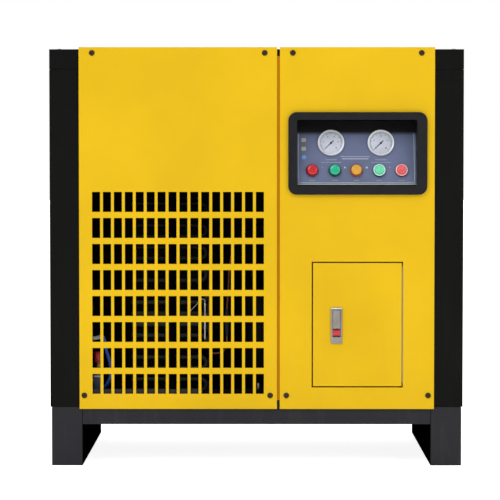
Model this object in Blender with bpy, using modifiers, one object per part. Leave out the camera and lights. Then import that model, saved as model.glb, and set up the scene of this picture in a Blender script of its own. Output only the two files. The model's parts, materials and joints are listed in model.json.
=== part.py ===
"""Refrigerated compressed-air dryer: a sheet-metal cabinet on two skid legs.

Metres, +Z up, the front faces -Y, the origin is on the floor under the middle of the whole object.
"""

import math

import bmesh
import bpy
from mathutils import Matrix, Vector

# ---------------------------------------------------------------- driving dimensions
WIDTH = 0.940  # over the corner posts
HEIGHT = 0.952  # floor to the top edge of the front panels
PANEL_Y = -0.320  # front face of the yellow panels
FRAME_Y = -0.316  # front face of the posts, the legs and the top cover
REAR_Y = 0.300  # outer face of the rear panel
END_Y = 0.328  # the bezel stands this far forward, the pipe stubs this far back
SHEET = 0.0015  # sheet thickness of the panels
GAP = 0.0003  # clearance between pieces that touch
OVERCUT = 0.010  # how far a cutter runs past the face it opens

LEG_OUTER_X = 0.467
LEG_WIDTH = 0.070
LEG_HEIGHT = 0.134
LEG_WALL = 0.003
BEAM_HEIGHT = 0.0356
BEAM_DEPTH = 0.040
PANEL_BOTTOM = 0.130

POST_WIDTH = 0.066
POST_DEPTH = 0.048
POST_TOP = 0.9015
TOP_COVER_LOW = 0.902
TOP_COVER_HIGH = 0.9475
FLOOR_LOW = PANEL_BOTTOM + GAP
FLOOR_TOP = FLOOR_LOW + 0.003

GRILLE_PANEL_X = (-0.403, 0.0465)
CONTROL_PANEL_X = (0.053, 0.404)
RETURN_DEPTH = 0.015
RETURN_Z = (0.150, 0.932)
SLOT_SIZE = (0.0182, 0.0454)
SLOT_PITCH = (0.0248, 0.0592)
SLOT_COUNT = (16, 8)
SLOT_FIRST = (-0.3734, 0.1646)  # left and lower edge of the first slot

SCREW_PLACES = {
    "screw_grille_top_left": (-0.373, 0.939),
    "screw_grille_top_right": (0.0186, 0.939),
    "screw_grille_low_left": (-0.3920, 0.161),
    "screw_grille_low_right": (0.0311, 0.161),
    "screw_control_top_left": (0.0822, 0.939),
    "screw_control_top_right": (0.3739, 0.939),
    "screw_control_low_left": (0.0679, 0.161),
    "screw_control_low_right": (0.3907, 0.161),
}
SCREW_SHANK_R = 0.0029
SCREW_HOLE_R = 0.0034
SCREW_HEAD_R = 0.0065

BEZEL_X = (0.072, 0.387)
BEZEL_Z = (0.618, 0.805)
BEZEL_HOLE_X = (0.092, 0.364)
BEZEL_HOLE_Z = (0.6385, 0.7877)
BEZEL_WALL = 0.004
BEZEL_DEPTH_Y = -0.268
BEZEL_CORNER = 0.019
PLATE_TILT = math.radians(15)
PLATE_CENTRE = Vector((0.228, -0.2932, 0.71325))
PLATE_SIZE = (0.271, 0.1505, 0.002)

GAUGE_PLACES = {"pressure_gauge": (0.1698, 0.7366), "dew_point_gauge": (0.2835, 0.7366)}
GAUGE_R = 0.0305
GAUGE_BODY_R = 0.0270
LAMP_PLACES = {
    "power_lamp": (0.1267, "red"),
    "run_lamp": (0.1782, "green"),
    "fault_lamp": (0.2270, "orange"),
}
BUTTON_PLACES = {"start_button": (0.2792, "green"), "stop_button": (0.3298, "red")}
CONTROL_ROW_Z = 0.6744
DEVICE_HOLE_R = 0.0113
BUTTON_HEAD_R = 0.0145
BUTTON_PROUD = 0.008

DOOR_X = (0.1285, 0.3301)
DOOR_Z = (0.1820, 0.4629)
DOOR_GAP = 0.003
DOOR_DEPTH = 0.014
HINGE_AXIS = (DOOR_X[1] + DOOR_GAP / 2, PANEL_Y + 0.0005)
HINGE_R = 0.00105
HINGE_Z = (0.190, 0.455)

LATCH_X = (0.169, 0.195)
LATCH_Z = (0.2794, 0.3614)
LATCH_POCKET_X = (0.1730, 0.1910)
LATCH_POCKET_Z = (0.2945, 0.3570)
LATCH_POCKET_Y = -0.3075
LATCH_SIDE_GAP = 0.0005
HANDLE_Z = (0.3135, 0.3560)
HANDLE_AXIS = (-0.3230, 0.3545)
LATCH_BUTTON_Z = (0.2970, 0.3110)

ELECTRICAL_BOX = ((0.112, -0.302, 0.166), (0.347, -0.180, 0.480))
CONDENSER = ((-0.365, -0.225, 0.150), (-0.130, -0.165, 0.610))
CONDENSER_ROWS = 18
TUBE_R = 0.005
FAN_CENTRE = Vector((-0.2475, -0.090, 0.380))
FAN_R = 0.112
FAN_BLADES = 5
COMPRESSOR_PLACE = Vector((0.010, 0.040, FLOOR_TOP + GAP))
COMPRESSOR_R = 0.085
COMPRESSOR_HEIGHT = 0.285
COMPRESSOR_WALL = 0.020
EXCHANGER = ((0.070, -0.060, 0.520), (0.360, 0.200, 0.870))
SEPARATOR_PLACE = Vector((0.290, 0.100, 0.255))
SEPARATOR_R = 0.045
SEPARATOR_HEIGHT = 0.264
PIPE_Z = 0.790
PIPE_X = {"air_inlet_pipe": 0.290, "air_outlet_pipe": 0.140}
PIPE_OUTER_R = 0.03015
PIPE_INNER_R = 0.0260
PIPE_WINDOW = 0.040  # from a pipe's axis to the edge of the rear panel's window
DRAIN_PLACE = (0.290, 0.215)
DRAIN_R = 0.0085

# ---------------------------------------------------------------- colours: rgb, roughness, metallic
FINISHES = {
    "yellow_paint": ((0.84, 0.53, 0.012), 0.42, 0.0),
    "black_paint": ((0.012, 0.012, 0.011), 0.48, 0.0),
    "grey_paint": ((0.036, 0.035, 0.042), 0.50, 0.0),
    "galvanised": ((0.55, 0.56, 0.56), 0.40, 0.9),
    "steel": ((0.50, 0.51, 0.53), 0.30, 1.0),
    "black_plastic": ((0.026, 0.026, 0.032), 0.45, 0.0),
    "plate_blue": ((0.13, 0.16, 0.29), 0.40, 0.0),
    "chrome": ((0.75, 0.75, 0.76), 0.15, 1.0),
    "glass": ((0.90, 0.93, 0.95), 0.05, 0.0),
    "pointer_black": ((0.01, 0.01, 0.01), 0.50, 0.0),
    "red": ((0.70, 0.02, 0.02), 0.25, 0.0),
    "green": ((0.01, 0.40, 0.12), 0.25, 0.0),
    "orange": ((0.90, 0.38, 0.02), 0.25, 0.0),
    "screw_black": ((0.03, 0.025, 0.02), 0.35, 0.8),
    "copper": ((0.72, 0.33, 0.18), 0.30, 1.0),
    "aluminium": ((0.62, 0.63, 0.64), 0.38, 1.0),
    "enamel_black": ((0.010, 0.010, 0.012), 0.35, 0.0),
    "foam": ((0.020, 0.020, 0.022), 0.85, 0.0),
    "brass": ((0.70, 0.50, 0.20), 0.30, 1.0),
    "blue_hose": ((0.02, 0.16, 0.62), 0.35, 0.0),
}


# ---------------------------------------------------------------- scene and object helpers
def clear_scene():
    for obj in list(bpy.data.objects):
        bpy.data.objects.remove(obj, do_unlink=True)


def new_collection(name):
    collection = bpy.data.collections.new(name)
    bpy.context.scene.collection.children.link(collection)
    return collection


def finish_material(name):
    material = bpy.data.materials.get(name)
    if material:
        return material
    colour, roughness, metallic = FINISHES[name]
    material = bpy.data.materials.new(name)
    material.use_nodes = True
    shader = material.node_tree.nodes["Principled BSDF"]
    shader.inputs["Base Color"].default_value = (*colour, 1.0)
    shader.inputs["Roughness"].default_value = roughness
    shader.inputs["Metallic"].default_value = metallic
    return material


def mesh_object(name, mesh, finish, place=None):
    """A visible part: its mesh, its finish and its placing matrix."""
    obj = bpy.data.objects.new(name, mesh)
    mesh.materials.append(finish_material(finish))
    PARTS.objects.link(obj)
    if place is not None:
        obj.matrix_world = place
    return obj


def helper_object(name, mesh):
    """A cutter, or a shape that is joined to a part: not itself a part."""
    obj = bpy.data.objects.new(name, mesh)
    CUTTERS.objects.link(obj)
    obj.hide_render = True
    obj.display_type = "WIRE"
    return obj


def mesh_from(bm, name):
    mesh = bpy.data.meshes.new(name)
    bmesh.ops.recalc_face_normals(bm, faces=bm.faces)
    bm.to_mesh(mesh)
    bm.free()
    return mesh


def add_box(bm, low, high):
    low = Vector(low)
    high = Vector(high)
    place = Matrix.Translation((low + high) / 2) @ Matrix.Diagonal((*(high - low), 1.0))
    return bmesh.ops.create_cube(bm, size=1.0, matrix=place)["verts"]


def box_mesh(name, low, high, corner=0.0, axis=1, segments=3):
    """A box, with the edges that run along one axis rounded where a corner radius is given."""
    bm = bmesh.new()
    add_box(bm, low, high)
    if corner:
        others = [i for i in range(3) if i != axis]
        edges = [e for e in bm.edges if all(abs((e.verts[0].co - e.verts[1].co)[i]) < GAP for i in others)]
        bmesh.ops.bevel(bm, geom=edges, offset=corner, segments=segments, profile=0.5, affect="EDGES")
    return mesh_from(bm, name)


def box_part(name, low, high, finish, **options):
    return mesh_object(name, box_mesh(name, low, high, **options), finish)


def boolean(target, helper, operation):
    modifier = target.modifiers.new(operation.lower() + "_" + helper.name, "BOOLEAN")
    modifier.operation = operation
    modifier.object = helper
    modifier.solver = "EXACT"


def cut_box(target, label, low, high, **options):
    helper = helper_object(target.name + "_" + label, box_mesh(label, low, high, **options))
    boolean(target, helper, "DIFFERENCE")
    return helper


def join_box(target, label, low, high, **options):
    helper = helper_object(target.name + "_" + label, box_mesh(label, low, high, **options))
    boolean(target, helper, "UNION")
    return helper


def cylinders_mesh(name, places, radius, low, high, axis="Y", segments=16):
    """Parallel cylinders from low to high along one axis; each place gives the other two coordinates."""
    turn = {"Y": Matrix.Rotation(math.radians(90), 4, "X"), "Z": Matrix.Identity(4)}[axis]
    bm = bmesh.new()
    for first, second in places:
        middle = (low + high) / 2
        centre = Vector((first, middle, second)) if axis == "Y" else Vector((first, second, middle))
        bmesh.ops.create_cone(
            bm,
            cap_ends=True,
            segments=segments,
            radius1=radius,
            radius2=radius,
            depth=high - low,
            matrix=Matrix.Translation(centre) @ turn,
        )
    return mesh_from(bm, name)


def cut_holes(target, label, places, radius, low, high, **options):
    mesh = cylinders_mesh(label, places, radius, low, high, **options)
    boolean(target, helper_object(target.name + "_" + label, mesh), "DIFFERENCE")


def turned(name, profile, finish, place, closed=False, steps=24):
    """A turned part about its own Z. The profile runs down the outer side, from top to bottom."""
    mesh = bpy.data.meshes.new(name)
    points = [(radius, 0.0, height) for radius, height in profile]
    edges = [(i, i + 1) for i in range(len(points) - 1)]
    if closed:
        edges.append((len(points) - 1, 0))
    mesh.from_pydata(points, edges, [])
    obj = mesh_object(name, mesh, finish, place)
    screw = obj.modifiers.new("turn", "SCREW")
    screw.steps = steps
    screw.render_steps = steps
    screw.use_merge_vertices = True
    screw.merge_threshold = 0.00005
    screw.use_smooth_shade = True
    return obj


def facing_front(x, y, z):
    """A frame whose +Z points out of the front."""
    return Matrix.Translation((x, y, z)) @ Matrix.Rotation(math.radians(90), 4, "X")


def facing_back(x, y, z):
    return Matrix.Translation((x, y, z)) @ Matrix.Rotation(math.radians(-90), 4, "X")


def tube_curve(name, route, radius, finish, smooth=4, sides=2):
    """A round tube along a route whose corners are rounded by a Catmull-Rom curve."""
    points = smooth_route([Vector(p) for p in route], smooth)
    data = bpy.data.curves.new(name, "CURVE")
    data.dimensions = "3D"
    data.bevel_depth = radius
    data.bevel_resolution = sides
    data.use_fill_caps = True
    spline = data.splines.new("POLY")
    spline.points.add(len(points) - 1)
    for target, point in zip(spline.points, points):
        target.co = (*point, 1.0)
    data.materials.append(finish_material(finish))
    obj = bpy.data.objects.new(name, data)
    PARTS.objects.link(obj)
    return obj


def smooth_route(points, count):
    padded = [2 * points[0] - points[1], *points, 2 * points[-1] - points[-2]]
    route = []
    for i in range(1, len(padded) - 2):
        p0, p1, p2, p3 = padded[i - 1 : i + 3]
        for step in range(count):
            t = step / count
            route.append(
                0.5
                * (
                    2 * p1
                    + (p2 - p0) * t
                    + (2 * p0 - 5 * p1 + 4 * p2 - p3) * t**2
                    + (3 * p1 - p0 - 3 * p2 + p3) * t**3
                )
            )
    route.append(points[-1])
    return route


def curve_to_mesh(obj, name):
    """The mesh of a curve object, with its caps welded; the curve is removed."""
    graph = bpy.context.evaluated_depsgraph_get()
    mesh = bpy.data.meshes.new_from_object(obj.evaluated_get(graph))
    mesh.name = name
    bm = bmesh.new()
    bm.from_mesh(mesh)
    bmesh.ops.remove_doubles(bm, verts=bm.verts, dist=0.00005)
    bm.to_mesh(mesh)
    bm.free()
    bpy.data.objects.remove(obj, do_unlink=True)
    return mesh


# ---------------------------------------------------------------- base frame
def make_leg(name, side):
    """A skid leg: a rectangular tube, closed at the front, open at the back."""
    xs = sorted((side * (LEG_OUTER_X - LEG_WIDTH), side * LEG_OUTER_X))
    leg = box_part(name, (xs[0], FRAME_Y, 0.0), (xs[1], REAR_Y, LEG_HEIGHT), "grey_paint")
    cut_box(
        leg,
        "inside",
        (xs[0] + LEG_WALL, FRAME_Y + LEG_WALL, LEG_WALL),
        (xs[1] - LEG_WALL, REAR_Y + OVERCUT, LEG_HEIGHT - LEG_WALL),
    )


def make_beam(name, face_y, back_y):
    """A cross beam between the legs: a channel that opens towards the middle of the cabinet."""
    inner_x = LEG_OUTER_X - LEG_WIDTH - GAP
    low_z = PANEL_BOTTOM - BEAM_HEIGHT
    ys = sorted((face_y, back_y))
    beam = box_part(name, (-inner_x, ys[0], low_z), (inner_x, ys[1], PANEL_BOTTOM), "grey_paint")
    inward = 1 if back_y > face_y else -1
    cut_ys = sorted((face_y + inward * LEG_WALL, back_y + inward * OVERCUT))
    cut_box(
        beam,
        "channel",
        (-inner_x - OVERCUT, cut_ys[0], low_z + LEG_WALL),
        (inner_x + OVERCUT, cut_ys[1], PANEL_BOTTOM - LEG_WALL),
    )


def make_floor_pan():
    """The bottom sheet, with an upturned front lip that takes the lower panel screws."""
    half_x = LEG_OUTER_X - LEG_WIDTH - 0.0005
    lip_y = FRAME_Y + SHEET
    lip_top = 0.1745
    high = (half_x, REAR_Y - 0.010, lip_top)
    pan = box_part("floor_pan", (-half_x, lip_y, FLOOR_LOW), high, "grey_paint")
    cut_box(
        pan,
        "inside",
        (-half_x - OVERCUT, lip_y + SHEET, FLOOR_TOP),
        (half_x + OVERCUT, REAR_Y, lip_top + OVERCUT),
    )
    cut_box(
        pan,
        "notch",
        (GRILLE_PANEL_X[1] - 0.0035, lip_y - OVERCUT, RETURN_Z[0] - 0.001),
        (CONTROL_PANEL_X[0] + 0.0035, lip_y + OVERCUT, lip_top + OVERCUT),
    )
    cut_screw_holes(pan)


def make_post(name, side, face_y, back_y):
    """A corner post: a folded channel, its wide web to the front or the back."""
    low_z = LEG_HEIGHT + GAP
    inward = 1 if back_y > face_y else -1
    xs = sorted((side * WIDTH / 2, side * (WIDTH / 2 - POST_WIDTH)))
    ys = sorted((face_y, back_y))
    post = box_part(name, (xs[0], ys[0], low_z), (xs[1], ys[1], POST_TOP), "black_paint")
    cut_ys = sorted((face_y + inward * SHEET, back_y + inward * OVERCUT))
    cut_box(
        post,
        "fold",
        (xs[0] + SHEET, cut_ys[0], low_z - OVERCUT),
        (xs[1] - SHEET, cut_ys[1], POST_TOP + OVERCUT),
    )
    inner_x = side * (WIDTH / 2 - POST_WIDTH)
    trim = sorted((inner_x - side * OVERCUT, inner_x + side * 3 * SHEET))
    trim_ys = sorted((face_y + inward * 0.024, back_y + inward * OVERCUT))
    cut_box(
        post,
        "short_flange",
        (trim[0], trim_ys[0], low_z - OVERCUT),
        (trim[1], trim_ys[1], POST_TOP + OVERCUT),
    )


def make_centre_post():
    """The channel behind the gap between the two front panels."""
    low = (0.0400, PANEL_Y + RETURN_DEPTH + 0.0005, FLOOR_TOP + GAP)
    high = (0.0595, -0.274, 0.9455)
    post = box_part("centre_post", low, high, "black_paint")
    cut_box(
        post,
        "channel",
        (low[0] + SHEET, low[1] + SHEET, low[2] - OVERCUT),
        (high[0] - SHEET, high[1] + OVERCUT, high[2] + OVERCUT),
    )


# ---------------------------------------------------------------- covers and panels
def make_top_cover():
    """A shallow tray, open below; its front lip is cut back between the corner posts."""
    half_x = WIDTH / 2
    high = (half_x, REAR_Y, TOP_COVER_HIGH)
    cover = box_part("top_cover", (-half_x, FRAME_Y, TOP_COVER_LOW), high, "black_paint")
    cut_box(
        cover,
        "inside",
        (-half_x + SHEET, FRAME_Y + SHEET, TOP_COVER_LOW - OVERCUT),
        (half_x - SHEET, REAR_Y - SHEET, TOP_COVER_HIGH - SHEET),
    )
    notch_x = half_x - POST_WIDTH + 0.0008
    cut_box(
        cover,
        "front_notch",
        (-notch_x, FRAME_Y - OVERCUT, TOP_COVER_LOW - OVERCUT),
        (notch_x, FRAME_Y + 2 * SHEET, RETURN_Z[1] + 0.0005),
    )
    cut_screw_holes(cover)


def slots_mesh(name, origin, size, pitch, count, low, high, axis="Y"):
    """A field of box cutters; origin, size and pitch lie in the sheet, low and high go through it."""
    bm = bmesh.new()
    for column in range(count[0]):
        for row in range(count[1]):
            first = origin[0] + column * pitch[0]
            second = origin[1] + row * pitch[1]
            if axis == "Y":
                add_box(bm, (first, low, second), (first + size[0], high, second + size[1]))
            else:
                add_box(bm, (low, first, second), (high, first + size[0], second + size[1]))
    return mesh_from(bm, name)


def cut_slots(target, **field):
    mesh = slots_mesh("slots", **field)
    boolean(target, helper_object(target.name + "_slots", mesh), "DIFFERENCE")


def make_front_sheet(name, xs):
    """A front panel: a flat sheet with a return folded back along each upright edge."""
    return_y = PANEL_Y + RETURN_DEPTH
    panel = box_part(name, (xs[0], PANEL_Y, PANEL_BOTTOM), (xs[1], return_y, HEIGHT), "yellow_paint")
    back = PANEL_Y + SHEET
    for label, low_z, high_z in (
        ("below_return", PANEL_BOTTOM - OVERCUT, RETURN_Z[0]),
        ("above_return", RETURN_Z[1], HEIGHT + OVERCUT),
    ):
        cut_box(panel, label, (xs[0] - OVERCUT, back, low_z), (xs[1] + OVERCUT, return_y + OVERCUT, high_z))
    return panel


def cut_behind_sheet(panel, xs):
    """The hollow between the two returns, as a cutter that can itself be cut."""
    return cut_box(
        panel,
        "hollow",
        (xs[0] + SHEET, PANEL_Y + SHEET, RETURN_Z[0] - OVERCUT),
        (xs[1] - SHEET, PANEL_Y + RETURN_DEPTH + OVERCUT, RETURN_Z[1] + OVERCUT),
    )


def cut_screw_holes(target):
    places = [place for place in SCREW_PLACES.values()]
    cut_holes(target, "screw_holes", places, SCREW_HOLE_R, PANEL_Y - OVERCUT, PANEL_Y + 0.012, segments=10)


def make_grille_panel():
    panel = make_front_sheet("grille_panel", GRILLE_PANEL_X)
    cut_behind_sheet(panel, GRILLE_PANEL_X)
    cut_screw_holes(panel)
    cut_slots(
        panel,
        origin=SLOT_FIRST,
        size=SLOT_SIZE,
        pitch=SLOT_PITCH,
        count=SLOT_COUNT,
        low=PANEL_Y - OVERCUT,
        high=PANEL_Y + 0.005,
    )


def make_control_panel():
    """The right-hand front panel, with the bezel hole and a rimmed door opening."""
    panel = make_front_sheet("control_panel", CONTROL_PANEL_X)
    hollow = cut_behind_sheet(panel, CONTROL_PANEL_X)
    door_low = (DOOR_X[0] - DOOR_GAP, DOOR_Z[0] - DOOR_GAP)
    door_high = (DOOR_X[1] + DOOR_GAP, DOOR_Z[1] + DOOR_GAP)
    rim = helper_object(
        "control_panel_rim",
        box_mesh(
            "rim",
            (door_low[0] - SHEET, PANEL_Y - OVERCUT, door_low[1] - SHEET),
            (door_high[0] + SHEET, PANEL_Y + 2 * RETURN_DEPTH, door_high[1] + SHEET),
        ),
    )
    boolean(hollow, rim, "DIFFERENCE")
    cut_box(
        panel,
        "door_opening",
        (door_low[0], PANEL_Y - OVERCUT, door_low[1]),
        (door_high[0], PANEL_Y + 3 * RETURN_DEPTH, door_high[1]),
    )
    margin = BEZEL_WALL + 0.0005
    cut_box(
        panel,
        "bezel_hole",
        (BEZEL_HOLE_X[0] - margin, PANEL_Y - OVERCUT, BEZEL_HOLE_Z[0] - margin),
        (BEZEL_HOLE_X[1] + margin, PANEL_Y + 0.005, BEZEL_HOLE_Z[1] + margin),
    )
    cut_screw_holes(panel)


def make_side_panel(name, side):
    """A side cover between the corner posts, with a field of ventilation slots."""
    outer_x = WIDTH / 2 - 0.002
    return_x = outer_x - 0.012
    ys = (FRAME_Y + POST_DEPTH + 0.0005, REAR_Y - POST_DEPTH - 0.0005)
    zs = (LEG_HEIGHT + 0.0005, POST_TOP)
    xs = sorted((side * outer_x, side * return_x))
    panel = box_part(name, (xs[0], ys[0], zs[0]), (xs[1], ys[1], zs[1]), "black_paint")
    inner = sorted((side * (outer_x - SHEET), side * (return_x - OVERCUT)))
    cut_box(
        panel,
        "hollow",
        (inner[0], ys[0] + SHEET, zs[0] + SHEET),
        (inner[1], ys[1] - SHEET, zs[1] - SHEET),
    )
    through = sorted((side * (outer_x - 0.005), side * (outer_x + OVERCUT)))
    cut_slots(
        panel,
        origin=(-0.190, 0.250),
        size=(0.110, 0.008),
        pitch=(0.252, 0.030),
        count=(2, 9),
        low=through[0],
        high=through[1],
        axis="X",
    )


def make_rear_panel():
    """The rear cover: fan outlet slots, a window that both air pipes pass through, and the drain hole."""
    half_x = WIDTH / 2 - POST_WIDTH - 0.0005
    depth_y = REAR_Y - 0.014
    zs = (LEG_HEIGHT + 0.0005, POST_TOP)
    panel = box_part("rear_panel", (-half_x, depth_y, zs[0]), (half_x, REAR_Y, zs[1]), "black_paint")
    cut_box(
        panel,
        "hollow",
        (-half_x + SHEET, depth_y - OVERCUT, zs[0] + SHEET),
        (half_x - SHEET, REAR_Y - SHEET, zs[1] - SHEET),
    )
    cut_slots(
        panel,
        origin=(-0.3725, 0.245),
        size=(0.074, 0.010),
        pitch=(0.088, 0.022),
        count=(3, 13),
        low=REAR_Y - 0.005,
        high=REAR_Y + OVERCUT,
    )
    through = (REAR_Y - 0.005, REAR_Y + OVERCUT)
    cut_box(
        panel,
        "pipe_window",
        (min(PIPE_X.values()) - PIPE_WINDOW, through[0], PIPE_Z - PIPE_WINDOW),
        (max(PIPE_X.values()) + PIPE_WINDOW, through[1], PIPE_Z + PIPE_WINDOW),
        corner=0.010,
    )
    cut_holes(panel, "drain_hole", [DRAIN_PLACE], DRAIN_R + 0.001, *through, segments=16)


def make_screw(name, place):
    """A button-head screw through the panel, with a hexagon socket."""
    head = 0.0031
    shank = 0.012
    profile = [
        (0.0, head - 0.0016),
        (0.0022, head - 0.0016),
        (0.0023, head),
        (0.0042, head - 0.0006),
        (SCREW_HEAD_R, GAP + 0.0005),
        (SCREW_HEAD_R, GAP),
        (SCREW_SHANK_R, GAP),
        (SCREW_SHANK_R, -shank),
        (0.0, -shank),
    ]
    turned(name, profile, "screw_black", facing_front(place[0], PANEL_Y, place[1]), steps=12)


# ---------------------------------------------------------------- electrical door and its latch
def make_door():
    low = (DOOR_X[0], PANEL_Y, DOOR_Z[0])
    high = (DOOR_X[1], PANEL_Y + DOOR_DEPTH, DOOR_Z[1])
    door = box_part("electrical_door", low, high, "yellow_paint")
    cut_box(
        door,
        "hollow",
        (low[0] + SHEET, low[1] + SHEET, low[2] + SHEET),
        (high[0] - SHEET, high[1] + OVERCUT, high[2] - SHEET),
    )
    margin = 0.0015 + LATCH_SIDE_GAP
    cut_box(
        door,
        "latch_hole",
        (LATCH_POCKET_X[0] - margin, PANEL_Y - OVERCUT, LATCH_POCKET_Z[0] - margin),
        (LATCH_POCKET_X[1] + margin, PANEL_Y + 0.005, LATCH_POCKET_Z[1] + margin),
    )
    set_origin(door, (*HINGE_AXIS, 0.0))


def set_origin(obj, point):
    """Moves the object's origin to a world point, for instance onto its joint's axis; the shape stays put."""
    point = Vector(point)
    obj.data.transform(Matrix.Translation(-point))
    obj.location = point


def make_door_hinge():
    """A thin continuous hinge in the gap: the pin and the leaf that is fixed to the rim."""
    x, y = HINGE_AXIS
    mesh = cylinders_mesh("door_hinge", [(x, y)], HINGE_R, HINGE_Z[0], HINGE_Z[1], axis="Z", segments=12)
    hinge = mesh_object("door_hinge", mesh, "steel")
    join_box(
        hinge,
        "leaf",
        (DOOR_X[1] + DOOR_GAP - 0.0010, y, HINGE_Z[0]),
        (DOOR_X[1] + DOOR_GAP - GAP, y + 0.0105, HINGE_Z[1]),
    )


def make_latch_body():
    """The latch housing: a face flange and a pocket behind it."""
    wall = 0.0015
    body = box_part(
        "latch_body",
        (LATCH_X[0], PANEL_Y - 0.0035, LATCH_Z[0]),
        (LATCH_X[1], PANEL_Y - GAP, LATCH_Z[1]),
        "steel",
        corner=0.002,
    )
    join_box(
        body,
        "tub",
        (LATCH_POCKET_X[0] - wall, PANEL_Y - 0.001, LATCH_POCKET_Z[0] - wall),
        (LATCH_POCKET_X[1] + wall, LATCH_POCKET_Y + wall, LATCH_POCKET_Z[1] + wall),
    )
    cut_box(
        body,
        "pocket",
        (LATCH_POCKET_X[0], PANEL_Y - OVERCUT, LATCH_POCKET_Z[0]),
        (LATCH_POCKET_X[1], LATCH_POCKET_Y, LATCH_POCKET_Z[1]),
    )


def make_latch_handle():
    """The swing handle: it pivots near its top edge, and its lower end comes out."""
    xs = (LATCH_POCKET_X[0] + LATCH_SIDE_GAP, LATCH_POCKET_X[1] - LATCH_SIDE_GAP)
    handle = box_part(
        "latch_handle",
        (xs[0], PANEL_Y - 0.0045, HANDLE_Z[0]),
        (xs[1], PANEL_Y + 0.0085, HANDLE_Z[1]),
        "steel",
    )
    cut_box(
        handle,
        "back_hollow",
        (xs[0] + 0.002, PANEL_Y - 0.002, HANDLE_Z[0] + 0.002),
        (xs[1] - 0.002, PANEL_Y + 0.0085 + OVERCUT, HANDLE_Z[1] - 0.008),
    )
    set_origin(handle, ((xs[0] + xs[1]) / 2, *HANDLE_AXIS))


def make_latch_button():
    xs = (LATCH_POCKET_X[0] + LATCH_SIDE_GAP, LATCH_POCKET_X[1] - LATCH_SIDE_GAP)
    button = box_part(
        "latch_button",
        (xs[0], PANEL_Y - 0.0050, LATCH_BUTTON_Z[0]),
        (xs[1], PANEL_Y + 0.0075, LATCH_BUTTON_Z[1]),
        "red",
        corner=0.001,
    )
    set_origin(button, ((xs[0] + xs[1]) / 2, PANEL_Y, sum(LATCH_BUTTON_Z) / 2))


# ---------------------------------------------------------------- control bezel and instruments
def make_bezel():
    """The moulded bezel: a rounded face, and a square tunnel behind it."""
    bezel = box_part(
        "control_bezel",
        (BEZEL_X[0], -END_Y, BEZEL_Z[0]),
        (BEZEL_X[1], PANEL_Y - GAP, BEZEL_Z[1]),
        "black_plastic",
        corner=BEZEL_CORNER,
        segments=6,
    )
    join_box(
        bezel,
        "tunnel",
        (BEZEL_HOLE_X[0] - BEZEL_WALL, PANEL_Y - 0.004, BEZEL_HOLE_Z[0] - BEZEL_WALL),
        (BEZEL_HOLE_X[1] + BEZEL_WALL, BEZEL_DEPTH_Y, BEZEL_HOLE_Z[1] + BEZEL_WALL),
    )
    cut_box(
        bezel,
        "opening",
        (BEZEL_HOLE_X[0], -END_Y - OVERCUT, BEZEL_HOLE_Z[0]),
        (BEZEL_HOLE_X[1], BEZEL_DEPTH_Y + OVERCUT, BEZEL_HOLE_Z[1]),
        corner=0.003,
        segments=2,
    )


def plate_frame():
    """The empty that carries the instruments: +Z out of the plate, +Y up the plate."""
    empty = bpy.data.objects.new("instrument_frame", None)
    PARTS.objects.link(empty)
    turn = Matrix.Rotation(math.radians(90) - PLATE_TILT, 4, "X")
    empty.matrix_world = Matrix.Translation(PLATE_CENTRE) @ turn
    return empty


def plate_place(x, z, height=0.0):
    """The plate coordinates of a device whose face, this high above the plate, is at a world x and z."""
    rise = (z - PLATE_CENTRE.z - height * math.sin(PLATE_TILT)) / math.cos(PLATE_TILT)
    return x - PLATE_CENTRE.x, rise


def on_plate(obj, frame, u, v):
    obj.matrix_world = Matrix.Identity(4)
    obj.parent = frame
    obj.location = (u, v, 0.0)


def gauge_places():
    return {name: plate_place(x, z, 0.006) for name, (x, z) in GAUGE_PLACES.items()}


def device_places():
    row = {name: x for name, (x, _) in {**LAMP_PLACES, **BUTTON_PLACES}.items()}
    return {name: plate_place(x, CONTROL_ROW_Z, 0.008) for name, x in row.items()}


def make_instrument_plate(frame):
    half_u, half_v = PLATE_SIZE[0] / 2, PLATE_SIZE[1] / 2
    plate = box_part("instrument_plate", (-half_u, -half_v, -PLATE_SIZE[2]), (half_u, half_v, 0.0), "plate_blue")
    on_plate(plate, frame, 0.0, 0.0)
    for label, places, radius in (
        ("gauge_holes", gauge_places().values(), GAUGE_BODY_R + 0.0005),
        ("device_holes", device_places().values(), DEVICE_HOLE_R),
    ):
        mesh = cylinders_mesh(label, list(places), radius, -0.01, 0.01, axis="Z", segments=20)
        holes = helper_object("instrument_plate_" + label, mesh)
        holes.parent = frame
        boolean(plate, holes, "DIFFERENCE")


def make_gauge(name, frame, u, v):
    """A panel gauge: the case with its rim and dial floor, the pointer, and the glass."""
    rim = GAUGE_R
    profile = [
        (0.0, 0.0010),
        (0.0275, 0.0010),
        (0.0275, 0.0060),
        (0.0290, 0.0068),
        (rim, 0.0050),
        (rim, GAP),
        (GAUGE_BODY_R, GAP),
        (GAUGE_BODY_R, -0.0280),
        (0.0, -0.0280),
    ]
    on_plate(turned(name + "_case", profile, "chrome", None), frame, u, v)
    lens = [(0.0, 0.0056), (0.0272, 0.0056), (0.0272, 0.0046), (0.0, 0.0046)]
    on_plate(turned(name + "_lens", lens, "glass", None), frame, u, v)
    make_pointer(name + "_pointer", frame, u, v)


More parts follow.
